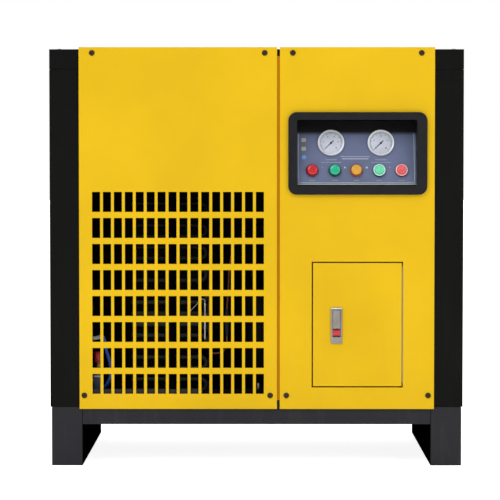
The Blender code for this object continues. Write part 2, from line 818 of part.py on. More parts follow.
def make_pointer(name, frame, u, v):
    """A tapered needle with a round hub, resting at the low end of the scale."""
    hub_r = 0.0034
    length = 0.0210
    rest_angle = math.radians(225)
    spread = math.radians(18)
    arc = [spread + i * (2 * math.pi - 2 * spread) / 14 for i in range(15)]
    outline = [(hub_r * math.cos(a), hub_r * math.sin(a)) for a in arc]
    outline += [(length, -0.0003), (length, 0.0003)]
    data = bpy.data.curves.new(name, "CURVE")
    data.dimensions = "2D"
    data.fill_mode = "BOTH"
    data.extrude = 0.0005
    spline = data.splines.new("POLY")
    spline.points.add(len(outline) - 1)
    for target, (x, y) in zip(spline.points, outline):
        target.co = (x, y, 0.0, 1.0)
    spline.use_cyclic_u = True
    guide = bpy.data.objects.new(name + "_outline", data)
    CUTTERS.objects.link(guide)
    pointer = mesh_object(name, curve_to_mesh(guide, name), "pointer_black")
    pointer.data.transform(Matrix.Translation((0, 0, 0.0026)) @ Matrix.Rotation(rest_angle, 4, "Z"))
    on_plate(pointer, frame, u, v)


def make_lamp(name, colour, frame, u, v):
    """An indicator lamp: a domed lens on a neck through the plate."""
    profile = [
        (0.0, 0.0125),
        (0.0050, 0.0121),
        (0.0095, 0.0106),
        (0.0128, 0.0078),
        (0.0136, 0.0040),
        (BUTTON_HEAD_R, 0.0034),
        (BUTTON_HEAD_R, GAP),
        (0.0110, GAP),
        (0.0110, -0.0300),
        (0.0, -0.0300),
    ]
    on_plate(turned(name, profile, colour, None, steps=20), frame, u, v)


def make_push_button(name, colour, frame, u, v):
    """A push button: a collar through the plate, and the cap that slides in it."""
    bore = 0.0110
    stem_bore = 0.0090
    collar = [
        (bore, BUTTON_PROUD),
        (0.0132, BUTTON_PROUD),
        (BUTTON_HEAD_R, BUTTON_PROUD - 0.0015),
        (BUTTON_HEAD_R, GAP),
        (0.0110, GAP),
        (0.0110, -0.0220),
        (stem_bore, -0.0220),
        (stem_bore, 0.0005),
        (bore, 0.0005),
    ]
    on_plate(turned(name + "_collar", collar, colour, None, closed=True, steps=20), frame, u, v)
    cap = [
        (0.0, 0.0098),
        (0.0085, 0.0096),
        (bore - 0.0005, 0.0088),
        (bore - 0.0005, 0.0044),
        (stem_bore - 0.0005, 0.0044),
        (stem_bore - 0.0005, -0.0150),
        (0.0, -0.0150),
    ]
    on_plate(turned(name, cap, colour, None, steps=20), frame, u, v)


def make_instruments():
    frame = plate_frame()
    make_instrument_plate(frame)
    for name, (u, v) in gauge_places().items():
        make_gauge(name, frame, u, v)
    places = device_places()
    for name, (_, colour) in LAMP_PLACES.items():
        make_lamp(name, colour, frame, *places[name])
    for name, (_, colour) in BUTTON_PLACES.items():
        make_push_button(name, colour, frame, *places[name])


def make_electrical_box():
    """The open-fronted box behind the door, and the contactor on its back wall."""
    low, high = ELECTRICAL_BOX
    box = box_part("electrical_box", low, high, "galvanised")
    cut_box(
        box,
        "inside",
        (low[0] + SHEET, low[1] - OVERCUT, low[2] + SHEET),
        (high[0] - SHEET, high[1] - SHEET, high[2] - SHEET),
    )
    back = high[1] - SHEET - GAP
    gear = box_part("contactor", (0.165, back - 0.075, 0.335), (0.225, back - 0.006, 0.420), "black_plastic")
    join_box(gear, "rail", (0.130, back - 0.008, 0.360), (0.330, back, 0.395))
    join_box(gear, "relay", (0.245, back - 0.060, 0.340), (0.300, back - 0.006, 0.415))


# ---------------------------------------------------------------- refrigeration and air circuit
def make_condenser():
    """A fin block with its tube serpentine: the front half of each run stands proud of the fins."""
    low, high = CONDENSER
    block = box_part("condenser_coil", low, high, "enamel_black")
    pitch = (high[2] - low[2]) / CONDENSER_ROWS
    reach = 0.008
    route = []
    for row in range(CONDENSER_ROWS):
        z = low[2] + (row + 0.5) * pitch
        ends = [low[0] - reach, high[0] + reach]
        if row % 2:
            ends.reverse()
        bulge = math.copysign(pitch / 2, ends[1] - ends[0])
        route.append((ends[0], low[1], z))
        route.append((ends[1], low[1], z))
        if row < CONDENSER_ROWS - 1:
            route.append((ends[1] + bulge * 0.7, low[1], z + pitch * 0.25))
            route.append((ends[1] + bulge * 0.7, low[1], z + pitch * 0.75))
    mesh = curve_to_mesh(tube_curve("condenser_route", route, TUBE_R, "copper", smooth=1, sides=1), "condenser_route")
    boolean(block, helper_object("condenser_tubes", mesh), "UNION")


def make_fan_shroud():
    low = (CONDENSER[0][0], CONDENSER[1][1] + GAP, CONDENSER[0][2])
    high = (CONDENSER[1][0], FAN_CENTRE.y - 0.020, CONDENSER[1][2])
    shroud = box_part("fan_shroud", low, high, "black_paint")
    cut_box(
        shroud,
        "inside",
        (low[0] + SHEET, low[1] - OVERCUT, low[2] + SHEET),
        (high[0] - SHEET, high[1] - SHEET, high[2] - SHEET),
    )
    centre = (FAN_CENTRE.x, FAN_CENTRE.z)
    cut_holes(shroud, "fan_ring", [centre], FAN_R + 0.003, high[1] - 0.01, high[1] + OVERCUT, segments=32)


def make_fan():
    """The axial rotor, turning about the front-to-back axis, and the motor behind it."""
    hub_r = 0.032
    half = 0.014
    profile = [(0.0, half), (hub_r - 0.004, half), (hub_r, half - 0.004), (hub_r, -half), (0.0, -half)]
    rotor = turned("fan_rotor", profile, "enamel_black", facing_front(*FAN_CENTRE), steps=20)
    for index in range(FAN_BLADES):
        bm = bmesh.new()
        add_box(bm, (hub_r - 0.006, -0.030, -0.0010), (FAN_R, 0.030, 0.0010))
        pitch = Matrix.Rotation(math.radians(24), 4, "X")
        around = Matrix.Rotation(2 * math.pi * index / FAN_BLADES, 4, "Z")
        bmesh.ops.transform(bm, matrix=around @ pitch, verts=bm.verts)
        blade = helper_object(f"fan_blade_{index}", mesh_from(bm, "blade"))
        blade.matrix_world = facing_front(*FAN_CENTRE)
        boolean(rotor, blade, "UNION")
    motor_r = 0.042
    motor = [(0.0, 0.0), (motor_r - 0.006, 0.0), (motor_r, -0.006), (motor_r, -0.066), (0.030, -0.074), (0.0, -0.074)]
    turned("fan_motor", motor, "enamel_black", facing_front(FAN_CENTRE.x, FAN_CENTRE.y + half + 0.003, FAN_CENTRE.z))


def make_compressor():
    """A hermetic shell, open below: a cylinder with a domed top on a base ring."""
    r, top = COMPRESSOR_R, COMPRESSOR_HEIGHT
    inner_r = r - COMPRESSOR_WALL
    profile = [
        (0.0, top),
        (0.45 * r, top - 0.006),
        (0.78 * r, top - 0.024),
        (r, top - 0.060),
        (r, 0.050),
        (0.86 * r, 0.026),
        (0.86 * r, 0.012),
        (1.05 * r, 0.012),
        (1.05 * r, 0.0),
        (0.75 * r, 0.0),
        (inner_r, 0.050),
        (inner_r, top - 0.075),
        (0.0, top - 0.075),
    ]
    turned("compressor", profile, "enamel_black", Matrix.Translation(COMPRESSOR_PLACE), steps=24)


def make_air_side():
    low, high = EXCHANGER
    box_part("heat_exchanger", low, high, "foam", corner=0.020, axis=2, segments=4)
    r, top = SEPARATOR_R, SEPARATOR_HEIGHT
    profile = [
        (0.0, top),
        (0.6 * r, top - 0.004),
        (r, top - 0.020),
        (r, 0.020),
        (0.6 * r, 0.004),
        (0.0, 0.0),
    ]
    turned("water_separator", profile, "aluminium", Matrix.Translation(SEPARATOR_PLACE), steps=24)
    length = END_Y - EXCHANGER[1][1] - GAP
    tube = [(PIPE_OUTER_R, 0.0), (PIPE_OUTER_R, -length), (PIPE_INNER_R, -length), (PIPE_INNER_R, 0.0)]
    for name, x in PIPE_X.items():
        turned(name, tube, "steel", facing_back(x, END_Y, PIPE_Z), closed=True, steps=24)


def make_refrigerant_lines():
    """The copper lines between the compressor, the condenser and the heat exchanger."""
    cx, cy, cz = COMPRESSOR_PLACE
    top = cz + COMPRESSOR_HEIGHT
    condenser_top = CONDENSER[1][2]
    side = CONDENSER[1][0] + 0.020
    discharge = [
        (cx - 0.020, cy - 0.035, top + 0.001),
        (cx - 0.022, cy - 0.040, top + 0.030),
        (cx - 0.060, cy - 0.100, top + 0.055),
        (side + 0.006, -0.150, top + 0.030),
        (side, -0.205, 0.380),
        (side, -0.210, 0.300),
        (side + 0.002, -0.200, 0.245),
    ]
    tube_curve("discharge_line", discharge, TUBE_R, "copper", smooth=4)
    suction = [
        (cx + 0.030, cy + 0.020, top + 0.001),
        (cx + 0.030, cy + 0.020, top + 0.040),
        (cx + 0.030, cy + 0.010, condenser_top - 0.030),
        (cx + 0.033, cy + 0.002, condenser_top + 0.030),
        (EXCHANGER[0][0] - 0.016, cy, condenser_top + 0.060),
        (EXCHANGER[0][0] - 0.003, cy, condenser_top + 0.060),
    ]
    tube_curve("suction_line", suction, 1.6 * TUBE_R, "copper", smooth=4)


def make_drain_hose():
    """The soft condensate hose that is clipped beside the condenser, from its tee down to the floor pan."""
    route = [
        (-0.352, -0.262, 0.290),
        (-0.346, -0.266, 0.262),
        (-0.338, -0.268, 0.234),
        (-0.335, -0.266, 0.205),
        (-0.345, -0.262, 0.180),
        (-0.362, -0.250, 0.162),
        (-0.374, -0.220, 0.150),
        (-0.378, -0.150, 0.146),
        (-0.376, -0.060, 0.146),
    ]
    tube_curve("drain_hose", route, 0.8 * TUBE_R, "blue_hose", smooth=3)


def make_drain_valve():
    """A small ball valve on the drain pipe: the body, and the lever on its upright stem."""
    x, z = DRAIN_PLACE
    r = DRAIN_R
    reach = END_Y - 0.002 - 0.180
    profile = [
        (r - 0.003, 0.0),
        (r, 0.0),
        (r, -reach),
        (r - 0.003, -reach),
    ]
    body = turned("drain_valve_body", profile, "brass", facing_back(x, END_Y - 0.002, z), closed=True, steps=16)
    stem = helper_object(
        "drain_stem",
        cylinders_mesh("stem", [(0.0, -0.013)], 0.0032, r - 0.0015, r + 0.004, axis="Y", segments=10),
    )
    stem.matrix_world = facing_back(x, END_Y - 0.002, z) @ Matrix.Rotation(math.pi, 4, "Z")
    boolean(body, stem, "UNION")
    axis_y = END_Y - 0.015
    low_z = z + r + 0.004 + GAP
    lever = box_part(
        "drain_valve_handle",
        (x - 0.006, axis_y - 0.005, low_z),
        (x + 0.036, axis_y + 0.005, low_z + 0.004),
        "red",
        corner=0.003,
        axis=2,
    )
    set_origin(lever, (x, axis_y, low_z))


# ---------------------------------------------------------------- the whole dryer
def build():
    make_leg("left_skid_leg", -1)
    make_leg("right_skid_leg", 1)
    make_beam("front_beam", FRAME_Y + 0.0005, FRAME_Y + BEAM_DEPTH)
    make_beam("rear_beam", REAR_Y - 0.0005, REAR_Y - BEAM_DEPTH)
    make_floor_pan()
    for side, label in ((-1, "left"), (1, "right")):
        make_post(f"front_{label}_post", side, FRAME_Y, FRAME_Y + POST_DEPTH)
        make_post(f"rear_{label}_post", side, REAR_Y, REAR_Y - POST_DEPTH)
        make_side_panel(f"{label}_side_panel", side)
    make_centre_post()
    make_top_cover()
    make_grille_panel()
    make_control_panel()
    make_rear_panel()
    for name, place in SCREW_PLACES.items():
        make_screw(name, place)
    make_door()
    make_door_hinge()
    make_latch_body()
    make_latch_handle()
    make_latch_button()
    make_bezel()
    make_instruments()
    make_electrical_box()
    make_condenser()
    make_fan_shroud()
    make_fan()
    make_compressor()
    make_air_side()
    make_refrigerant_lines()
    make_drain_hose()
    make_drain_valve()


clear_scene()
PARTS = new_collection("refrigerated_air_dryer")
CUTTERS = new_collection("cutters")
build()
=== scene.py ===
"""The looks of a refrigerated air dryer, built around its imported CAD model.

Metres, +Z up, the front faces -Y. Sizes and places come from the frame's nodes and joints.
"""

import json
import math

import bmesh
import bpy
from mathutils import Matrix, Vector


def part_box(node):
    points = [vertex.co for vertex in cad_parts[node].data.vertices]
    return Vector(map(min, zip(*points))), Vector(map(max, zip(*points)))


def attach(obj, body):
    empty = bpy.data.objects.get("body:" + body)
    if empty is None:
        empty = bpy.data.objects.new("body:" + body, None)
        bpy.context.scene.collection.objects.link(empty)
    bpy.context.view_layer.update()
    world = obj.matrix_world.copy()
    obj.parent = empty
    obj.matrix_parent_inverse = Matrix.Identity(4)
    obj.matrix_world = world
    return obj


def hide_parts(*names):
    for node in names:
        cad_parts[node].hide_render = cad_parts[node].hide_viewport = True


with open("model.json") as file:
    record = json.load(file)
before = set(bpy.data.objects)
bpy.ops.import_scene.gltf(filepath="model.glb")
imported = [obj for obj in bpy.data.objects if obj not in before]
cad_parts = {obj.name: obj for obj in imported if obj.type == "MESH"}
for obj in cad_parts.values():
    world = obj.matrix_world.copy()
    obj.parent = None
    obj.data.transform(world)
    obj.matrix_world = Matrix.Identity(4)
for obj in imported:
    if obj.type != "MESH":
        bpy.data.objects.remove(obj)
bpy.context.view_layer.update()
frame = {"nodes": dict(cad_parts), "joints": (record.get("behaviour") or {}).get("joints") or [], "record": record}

NODES = frame["nodes"]
JOINTS = {joint["name"]: joint for joint in frame["joints"]}



# ---------------------------------------------------------------- view, floor and light
CAMERA_DISTANCE = 5.1
CAMERA_HEIGHT = 0.708
CAMERA_PITCH = math.radians(2.42)
CAMERA_YAW = math.radians(0.166)
LENS = 161.8
SENSOR_WIDTH = 36
WORLD_LIGHT = 0.28
FLOOR_GLOW = 0.90
LIGHTS = {
    # azimuth, elevation and softness in degrees, strength
    "key_light": (-32, 40, 30, 0.98),
    "fill_light": (38, 28, 30, 0.60),
    "top_light": (0, 88, 60, 1.00),
    "back_light": (180, 32, 30, 1.20),
    "left_side_light": (-112, 30, 30, 0.90),
    "right_side_light": (112, 30, 30, 1.20),
}


def add_to_scene(name, data):
    """A new object in the scene with this data."""
    obj = bpy.data.objects.new(name, data)
    bpy.context.scene.collection.objects.link(obj)
    return obj


def make_camera():
    data = bpy.data.cameras.new("camera")
    data.lens = LENS
    data.sensor_width = SENSOR_WIDTH
    camera = add_to_scene("camera", data)
    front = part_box("control_panel")[0].y
    camera.location = (0.0, front - CAMERA_DISTANCE, CAMERA_HEIGHT)
    camera.rotation_euler = (math.pi / 2 - CAMERA_PITCH, 0.0, CAMERA_YAW)
    bpy.context.scene.camera = camera


def make_lights():
    """Broad, soft, distant lights; azimuth 0 comes from the front, positive from the viewer's right."""
    for name, (azimuth, elevation, softness, strength) in LIGHTS.items():
        data = bpy.data.lights.new(name, "SUN")
        data.energy = strength
        data.angle = math.radians(softness)
        light = add_to_scene(name, data)
        light.rotation_euler = (math.radians(90 - elevation), 0.0, math.radians(azimuth))


def camera_switch(tree, otherwise, to_camera, target):
    """Feeds a socket one value for rays that come straight from the camera, and another otherwise."""
    path = tree.nodes.new("ShaderNodeLightPath")
    switch = tree.nodes.new("ShaderNodeMapRange")
    switch.inputs["To Min"].default_value = otherwise
    switch.inputs["To Max"].default_value = to_camera
    tree.links.new(path.outputs["Is Camera Ray"], switch.inputs["Value"])
    tree.links.new(switch.outputs["Result"], target)


def make_world():
    """A pale surround: white where it is seen directly, and a softer grey as light."""
    world = bpy.data.worlds.new("studio")
    bpy.context.scene.world = world
    world.use_nodes = True
    background = world.node_tree.nodes["Background"]
    background.inputs["Color"].default_value = (1, 1, 1, 1)
    camera_switch(world.node_tree, WORLD_LIGHT, 1.0, background.inputs["Strength"])


def make_floor():
    """A plain pale floor; it glows softly to the camera alone, so that its shadows stay pale."""
    bm = bmesh.new()
    bmesh.ops.create_grid(bm, x_segments=2, y_segments=2, size=30)
    mesh = bpy.data.meshes.new("floor")
    bm.to_mesh(mesh)
    bm.free()
    floor = add_to_scene("floor", mesh)
    surface = Surface("floor", (0.86, 0.86, 0.86), 0.8, Specular_IOR_Level=0.1, Emission_Color=(1, 1, 1, 1))
    camera_switch(surface.tree, 0.0, FLOOR_GLOW, surface.shader.inputs["Emission Strength"])
    mesh.materials.append(surface.material)


# ---------------------------------------------------------------- materials
MATERIALS = {}


class Surface:
    """A Principled material under construction, with short calls for the nodes that vary it."""

    def __init__(self, name, colour, roughness, metallic=0.0, **sockets):
        self.material = bpy.data.materials.new(name)
        MATERIALS[name] = self.material
        self.material.use_nodes = True
        self.tree = self.material.node_tree
        self.shader = self.tree.nodes["Principled BSDF"]
        self.shader.inputs["Base Color"].default_value = (*colour, 1)
        self.shader.inputs["Roughness"].default_value = roughness
        self.shader.inputs["Metallic"].default_value = metallic
        for socket, value in sockets.items():
            self.shader.inputs[socket.replace("_", " ")].default_value = value
        self.colour = tuple(colour)
        self.place = self.tree.nodes.new("ShaderNodeTexCoord").outputs["Object"]

    def node(self, kind, inputs=None, **settings):
        made = self.tree.nodes.new("ShaderNode" + kind)
        for key, value in settings.items():
            setattr(made, key, value)
        for socket, value in (inputs or {}).items():
            if isinstance(value, bpy.types.NodeSocket):
                self.tree.links.new(value, made.inputs[socket])
            else:
                made.inputs[socket].default_value = value
        return made

    def stretched(self, scale):
        return self.node("Mapping", {"Vector": self.place, "Scale": scale}).outputs["Vector"]

    def noise(self, scale, detail=3.0, rough=0.5, vector=None):
        inputs = {"Vector": vector or self.place, "Scale": scale, "Detail": detail, "Roughness": rough}
        return self.node("TexNoise", inputs).outputs["Fac"]

    def ranged(self, value, low, high, to_low, to_high):
        inputs = {"Value": value, "From Min": low, "From Max": high, "To Min": to_low, "To Max": to_high}
        return self.node("MapRange", inputs, clamp=True).outputs["Result"]

    def multiply(self, first, second):
        return self.node("Math", {0: first, 1: second}, operation="MULTIPLY").outputs["Value"]

    def mixed(self, factor, first, second):
        """A colour between two others; each is a colour or an output."""
        made = self.node("Mix", {"Factor": factor}, data_type="RGBA")
        for socket, value in ((made.inputs[6], first), (made.inputs[7], second)):
            if isinstance(value, bpy.types.NodeSocket):
                self.tree.links.new(value, socket)
            else:
                socket.default_value = (*value, 1)
        return made.outputs[2]

    def paint(self, output):
        self.tree.links.new(output, self.shader.inputs["Base Color"])
        return self

    def polish(self, output):
        self.tree.links.new(output, self.shader.inputs["Roughness"])
        return self

    def bump(self, height, distance, strength=1.0):
        made = self.node("Bump", {"Height": height, "Distance": distance, "Strength": strength})
        if self.shader.inputs["Normal"].is_linked:
            earlier = self.shader.inputs["Normal"].links[0].from_socket
            self.tree.links.new(earlier, made.inputs["Normal"])
        self.tree.links.new(made.outputs["Normal"], self.shader.inputs["Normal"])
        return self

    def clouded(self, scale, darker, lighter, detail=4.0):
        """The surface's colour, drifting in soft patches between two shades of itself."""
        cloud = self.ranged(self.noise(scale, detail), 0.35, 0.65, 0.0, 1.0)
        return self.mixed(cloud, shade_of(self.colour, darker), shade_of(self.colour, lighter))

    def rubbed(self, scale, low, high):
        """A roughness that drifts between two values, as on a handled surface."""
        return self.polish(self.ranged(self.noise(scale, 4.0), 0.3, 0.7, low, high))

    def grained(self, scale, depth, detail=2.0):
        return self.bump(self.noise(scale, detail), depth)

    def height(self):
        """The object's own upward coordinate."""
        return self.node("SeparateXYZ", {"Vector": self.place}).outputs["Z"]


def shade_of(colour, factor):
    return tuple(min(1.0, part * factor) for part in colour)


def powder_coat(name, colour, roughness, specular, peel=0.00005, dust=0.10, dust_colour=(0.35, 0.31, 0.24)):
    """Baked powder paint: orange peel, faint cloudiness, fine specks, and some dust low down."""
    surface = Surface(name, colour, roughness, Specular_IOR_Level=specular)
    tone = surface.clouded(5.0, 0.95, 1.04)
    low = surface.ranged(surface.height(), 0.0, 0.45, 1.0, 0.15)
    streak = surface.noise(1.0, 5.0, 0.6, surface.stretched((42.0, 42.0, 5.0)))
    dirt = surface.multiply(low, surface.ranged(streak, 0.52, 0.78, 0.0, dust))
    tone = surface.mixed(dirt, tone, dust_colour)
    speck = surface.ranged(surface.noise(620.0, 2.0), 0.66, 0.74, 0.0, 0.10)
    surface.paint(surface.mixed(speck, tone, shade_of(colour, 0.55)))
    rub = surface.noise(38.0, 5.0, 0.65)
    surface.polish(surface.ranged(rub, 0.3, 0.7, roughness - 0.06, roughness + 0.08))
    surface.grained(430.0, peel)


def moulded_plastic(name, colour, roughness, specular=0.4, grain=0.00006):
    """Injection-moulded plastic with a fine spark-eroded grain and a few rubbed patches."""
    surface = Surface(name, colour, roughness, Specular_IOR_Level=specular)
    surface.paint(surface.clouded(24.0, 0.88, 1.12))
    surface.rubbed(70.0, roughness - 0.07, roughness + 0.09)
    surface.grained(1500.0, grain)


def glossy_plastic(name, colour, roughness=0.18, coat=0.6):
    """Clear-coated coloured plastic, slightly deeper in patches, with fine handling marks."""
    surface = Surface(name, colour, roughness, Specular_IOR_Level=0.5, Coat_Weight=coat, Coat_Roughness=0.06)
    surface.paint(surface.clouded(130.0, 0.86, 1.10, 3.0))
    surface.polish(surface.ranged(surface.noise(400.0, 3.0), 0.35, 0.7, roughness, roughness + 0.14))
    surface.grained(900.0, 0.00002)


def brushed_metal(name, colour, roughness, grain=(900.0, 60.0, 900.0), depth=0.00003, metallic=1.0):
    """Metal with drawn or brushed lines and slight staining."""
    surface = Surface(name, colour, roughness, metallic)
    lines = surface.noise(1.0, 4.0, 0.6, surface.stretched(grain))
    stain = surface.ranged(surface.noise(22.0, 5.0), 0.35, 0.7, 0.0, 1.0)
    surface.paint(surface.mixed(stain, shade_of(colour, 1.05), shade_of(colour, 0.82)))
    surface.polish(surface.ranged(lines, 0.3, 0.7, roughness - 0.08, roughness + 0.12))
    surface.bump(lines, depth)


def galvanised_metal():
    """Zinc spangle: flat crystals that differ in tone and gloss."""
    surface = Surface("galvanised", (0.42, 0.43, 0.44), 0.42, 0.85)
    cells = surface.node("TexVoronoi", {"Vector": surface.place, "Scale": 95.0, "Randomness": 1.0})
    tone = surface.node("SeparateColor", {"Color": cells.outputs["Color"]}).outputs["Red"]
    surface.paint(surface.mixed(tone, (0.30, 0.31, 0.32), (0.52, 0.53, 0.54)))
    surface.polish(surface.ranged(tone, 0.0, 1.0, 0.32, 0.52))
    surface.grained(300.0, 0.00003, 3.0)


def plate_film_with_painted_shade():
    """The instrument plate's film: blue-grey, with painted shade that turns its top near-black from just behind
    the gauges, for the shade under the recess's top.
    """
    surface = Surface("plate_blue", (0.132, 0.160, 0.275), 0.42, Specular_IOR_Level=0.35)
    tone = surface.clouded(14.0, 0.94, 1.06)
    # painted shade: near-black above this height, for the shade the bezel's top casts on the plate
    top_shade_band = surface.ranged(surface.height(), 0.7525, 0.7610, 0.0, 1.0)
    surface.paint(surface.mixed(top_shade_band, tone, (0.0030, 0.0032, 0.0036)))
    surface.rubbed(60.0, 0.36, 0.50)
    surface.grained(700.0, 0.00002)


def tube_lighter_low():
    """Black tube, a lighter grey in patches on its lower runs."""
    surface = Surface("tube_dark", (0.0030, 0.0036, 0.0034), 0.36, Specular_IOR_Level=0.12)
    # lighter grey below this height, in patches
    low = surface.ranged(surface.height(), 0.36, 0.50, 1.0, 0.0)
    patch = surface.ranged(surface.noise(28.0, 4.0), 0.3, 0.7, 0.55, 1.0)
    surface.paint(surface.mixed(surface.multiply(low, patch), surface.colour, (0.026, 0.034, 0.029)))
    surface.rubbed(90.0, 0.30, 0.48)
    surface.grained(430.0, 0.00004)


def clear_glass():
    """The gauges' thin windows, with a few rubbed patches."""
    surface = Surface("glass", (1, 1, 1), 0.03, Transmission_Weight=1.0, IOR=1.05, Specular_IOR_Level=0.5)
    surface.polish(surface.ranged(surface.noise(60.0, 4.0), 0.4, 0.8, 0.02, 0.10))
    surface.material.use_raytrace_refraction = True


def printed_film(name, colour, roughness=0.50, specular=0.3):
    """Flat print or a thin label, almost without grain."""
    moulded_plastic(name, colour, roughness, specular, 0.00001)


def make_materials():
    galvanised_metal()
    plate_film_with_painted_shade()
    tube_lighter_low()
    clear_glass()

    powder_coat("yellow_paint", (0.82, 0.510, 0.006), 0.42, 0.16, dust=0.05)
    # painted shade: a darker copy of the yellow, for the shaded strip in the gap between the front panels
    powder_coat("yellow_shadow", (0.54, 0.205, 0.0010), 0.60, 0.10, dust=0.05)
    powder_coat("black_paint", (0.0034, 0.0035, 0.0031), 0.42, 0.10, dust=0.02)
    # a flat black for painted shade: sheets put where there is only deep shade
    powder_coat("black_matt", (0.0014, 0.0014, 0.0014), 0.80, 0.0, dust=0.01)
    # painted sheen: lighter than the panels' black, so the pressed hoods read as catching light
    powder_coat("louvre_black", (0.0072, 0.0073, 0.0070), 0.36, 0.34, dust=0.02)
    powder_coat("enamel_black", (0.0035, 0.0035, 0.0040), 0.36, 0.16, dust=0.08)
    powder_coat("drier_green", (0.018, 0.026, 0.020), 0.40, 0.20, dust=0.2)
    powder_coat("grey_paint", (0.0245, 0.0235, 0.0285), 0.50, 0.16, peel=0.00012, dust=0.05)

    brushed_metal("steel", (0.40, 0.365, 0.340), 0.34)
    brushed_metal("steel_dull", (0.20, 0.20, 0.20), 0.42)
    brushed_metal("steel_bright", (0.75, 0.75, 0.77), 0.30)
    brushed_metal("screw_black", (0.062, 0.046, 0.037), 0.40)
    brushed_metal("screw_side", (0.040, 0.040, 0.042), 0.38)
    brushed_metal("aluminium", (0.50, 0.51, 0.52), 0.42)
    brushed_metal("brass", (0.60, 0.42, 0.16), 0.33)
    brushed_metal("copper", (0.24, 0.095, 0.050), 0.40, grain=(500.0, 500.0, 40.0))
    brushed_metal("fin_black", (0.012, 0.013, 0.013), 0.60, grain=(60.0, 900.0, 900.0))
    brushed_metal("chrome", (0.78, 0.78, 0.79), 0.20, depth=0.00001)
    # the gauges' bright rims; also the latch's strip of painted highlight
    brushed_metal("rim_bright", (0.84, 0.86, 0.88), 0.36, depth=0.00001, metallic=0.45)

    moulded_plastic("black_plastic", (0.0135, 0.0130, 0.0160), 0.42, 0.16)
    moulded_plastic("pointer_black", (0.01, 0.01, 0.01), 0.45)
    moulded_plastic("trap_plastic", (0.10, 0.10, 0.17), 0.40)
    moulded_plastic("strap_grey", (0.05, 0.05, 0.055), 0.60, 0.25)
    moulded_plastic("terminal_grey", (0.30, 0.31, 0.31), 0.52)
    moulded_plastic("rubber", (0.010, 0.010, 0.011), 0.72, 0.25, 0.0002)
    moulded_plastic("foam", (0.012, 0.012, 0.013), 0.85, 0.2, 0.0004)
    moulded_plastic("filter_mat", (0.0022, 0.0022, 0.0022), 0.90, 0.05, 0.0006)

    glossy_plastic("red_plastic", (0.62, 0.012, 0.016))
    glossy_plastic("green_plastic", (0.010, 0.50, 0.27))
    glossy_plastic("orange_plastic", (0.76, 0.37, 0.030))
    # painted shade: darker copies of the lamp and button colours, for their sides and edges
    glossy_plastic("red_deep", (0.20, 0.002, 0.004), 0.24, 0.3)
    glossy_plastic("green_deep", (0.002, 0.050, 0.036), 0.24, 0.3)
    glossy_plastic("orange_deep", (0.38, 0.080, 0.003), 0.24, 0.3)
    glossy_plastic("red_pale", (0.93, 0.47, 0.46), 0.22, 0.3)
    glossy_plastic("green_pale", (0.54, 0.95, 0.76), 0.22, 0.3)
    glossy_plastic("red_bright", (0.82, 0.120, 0.135), 0.20, 0.5)
    glossy_plastic("green_bright", (0.155, 0.73, 0.42), 0.20, 0.5)
    glossy_plastic("blue_hose", (0.018, 0.095, 0.46), 0.30, 0.3)

    printed_film("dial_face", (0.66, 0.69, 0.80), 0.40, 0.4)
    printed_film("dial_marks", (0.08, 0.08, 0.10))
    printed_film("dial_band", (0.36, 0.50, 0.46), 0.45)
    # pale print; also the recess sill's painted highlight
    printed_film("label_pale", (0.50, 0.56, 0.54))
    printed_film("label_grey", (0.36, 0.38, 0.50))
    printed_film("label_white", (0.55, 0.60, 0.62), 0.45)
    printed_film("label_yellow", (0.50, 0.49, 0.34))
    printed_film("label_blue", (0.17, 0.38, 0.80), 0.45)


# ---------------------------------------------------------------- mesh helpers
FRONT = (0, -1, 0)
BACK = (0, 1, 0)
UP = (0, 0, 1)


def mm(*points):
    """Points given in millimetres, in metres."""
    return [tuple(value / 1000 for value in point) for point in points]


def around(radius, *points):
    """Profile points in millimetres whose radii are offsets from one radius, in metres."""
    return [(radius + offset, height) for offset, height in mm(*points)]


def middle_of(name):
    low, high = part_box(name)
    return (low + high) / 2


def facing(point, normal, up=UP):
    """A frame at a point whose +Z is the normal and whose +Y is as near to up as it can be."""
    z = Vector(normal).normalized()
    x = Vector(up).cross(z).normalized()
    y = z.cross(x)
    turn = Matrix((x, y, z)).transposed().to_4x4()
    return Matrix.Translation(Vector(point)) @ turn


def hexagon_between(low, high):
    """A radius rule that puts the rings with a radius in this range on a hexagon."""
    sixth = math.pi / 3

    def rule(radius, angle):
        if low < radius < high:
            return radius * math.cos(sixth / 2) / math.cos(angle % sixth - sixth / 2)
        return radius

    return rule


def join_rings(bm, first, second):
    """A closed band of quads between two rings with the same number of points."""
    count = len(first)
    for i in range(count):
        j = (i + 1) % count
        bm.faces.new((first[i], first[j], second[j], second[i]))


def add_box(bm, low, high, bevel=0.0, segments=2):
    """A box, with all its edges rounded where a bevel is given."""
    low = Vector(low)
    high = Vector(high)
    place = Matrix.Translation((low + high) / 2) @ Matrix.Diagonal((*(high - low), 1.0))
    verts = bmesh.ops.create_cube(bm, size=1.0, matrix=place)["verts"]
    if bevel:
        edges = list(dict.fromkeys(edge for vert in verts for edge in vert.link_edges))
        bmesh.ops.bevel(bm, geom=edges, offset=bevel, segments=segments, profile=0.5, affect="EDGES")
    return bm


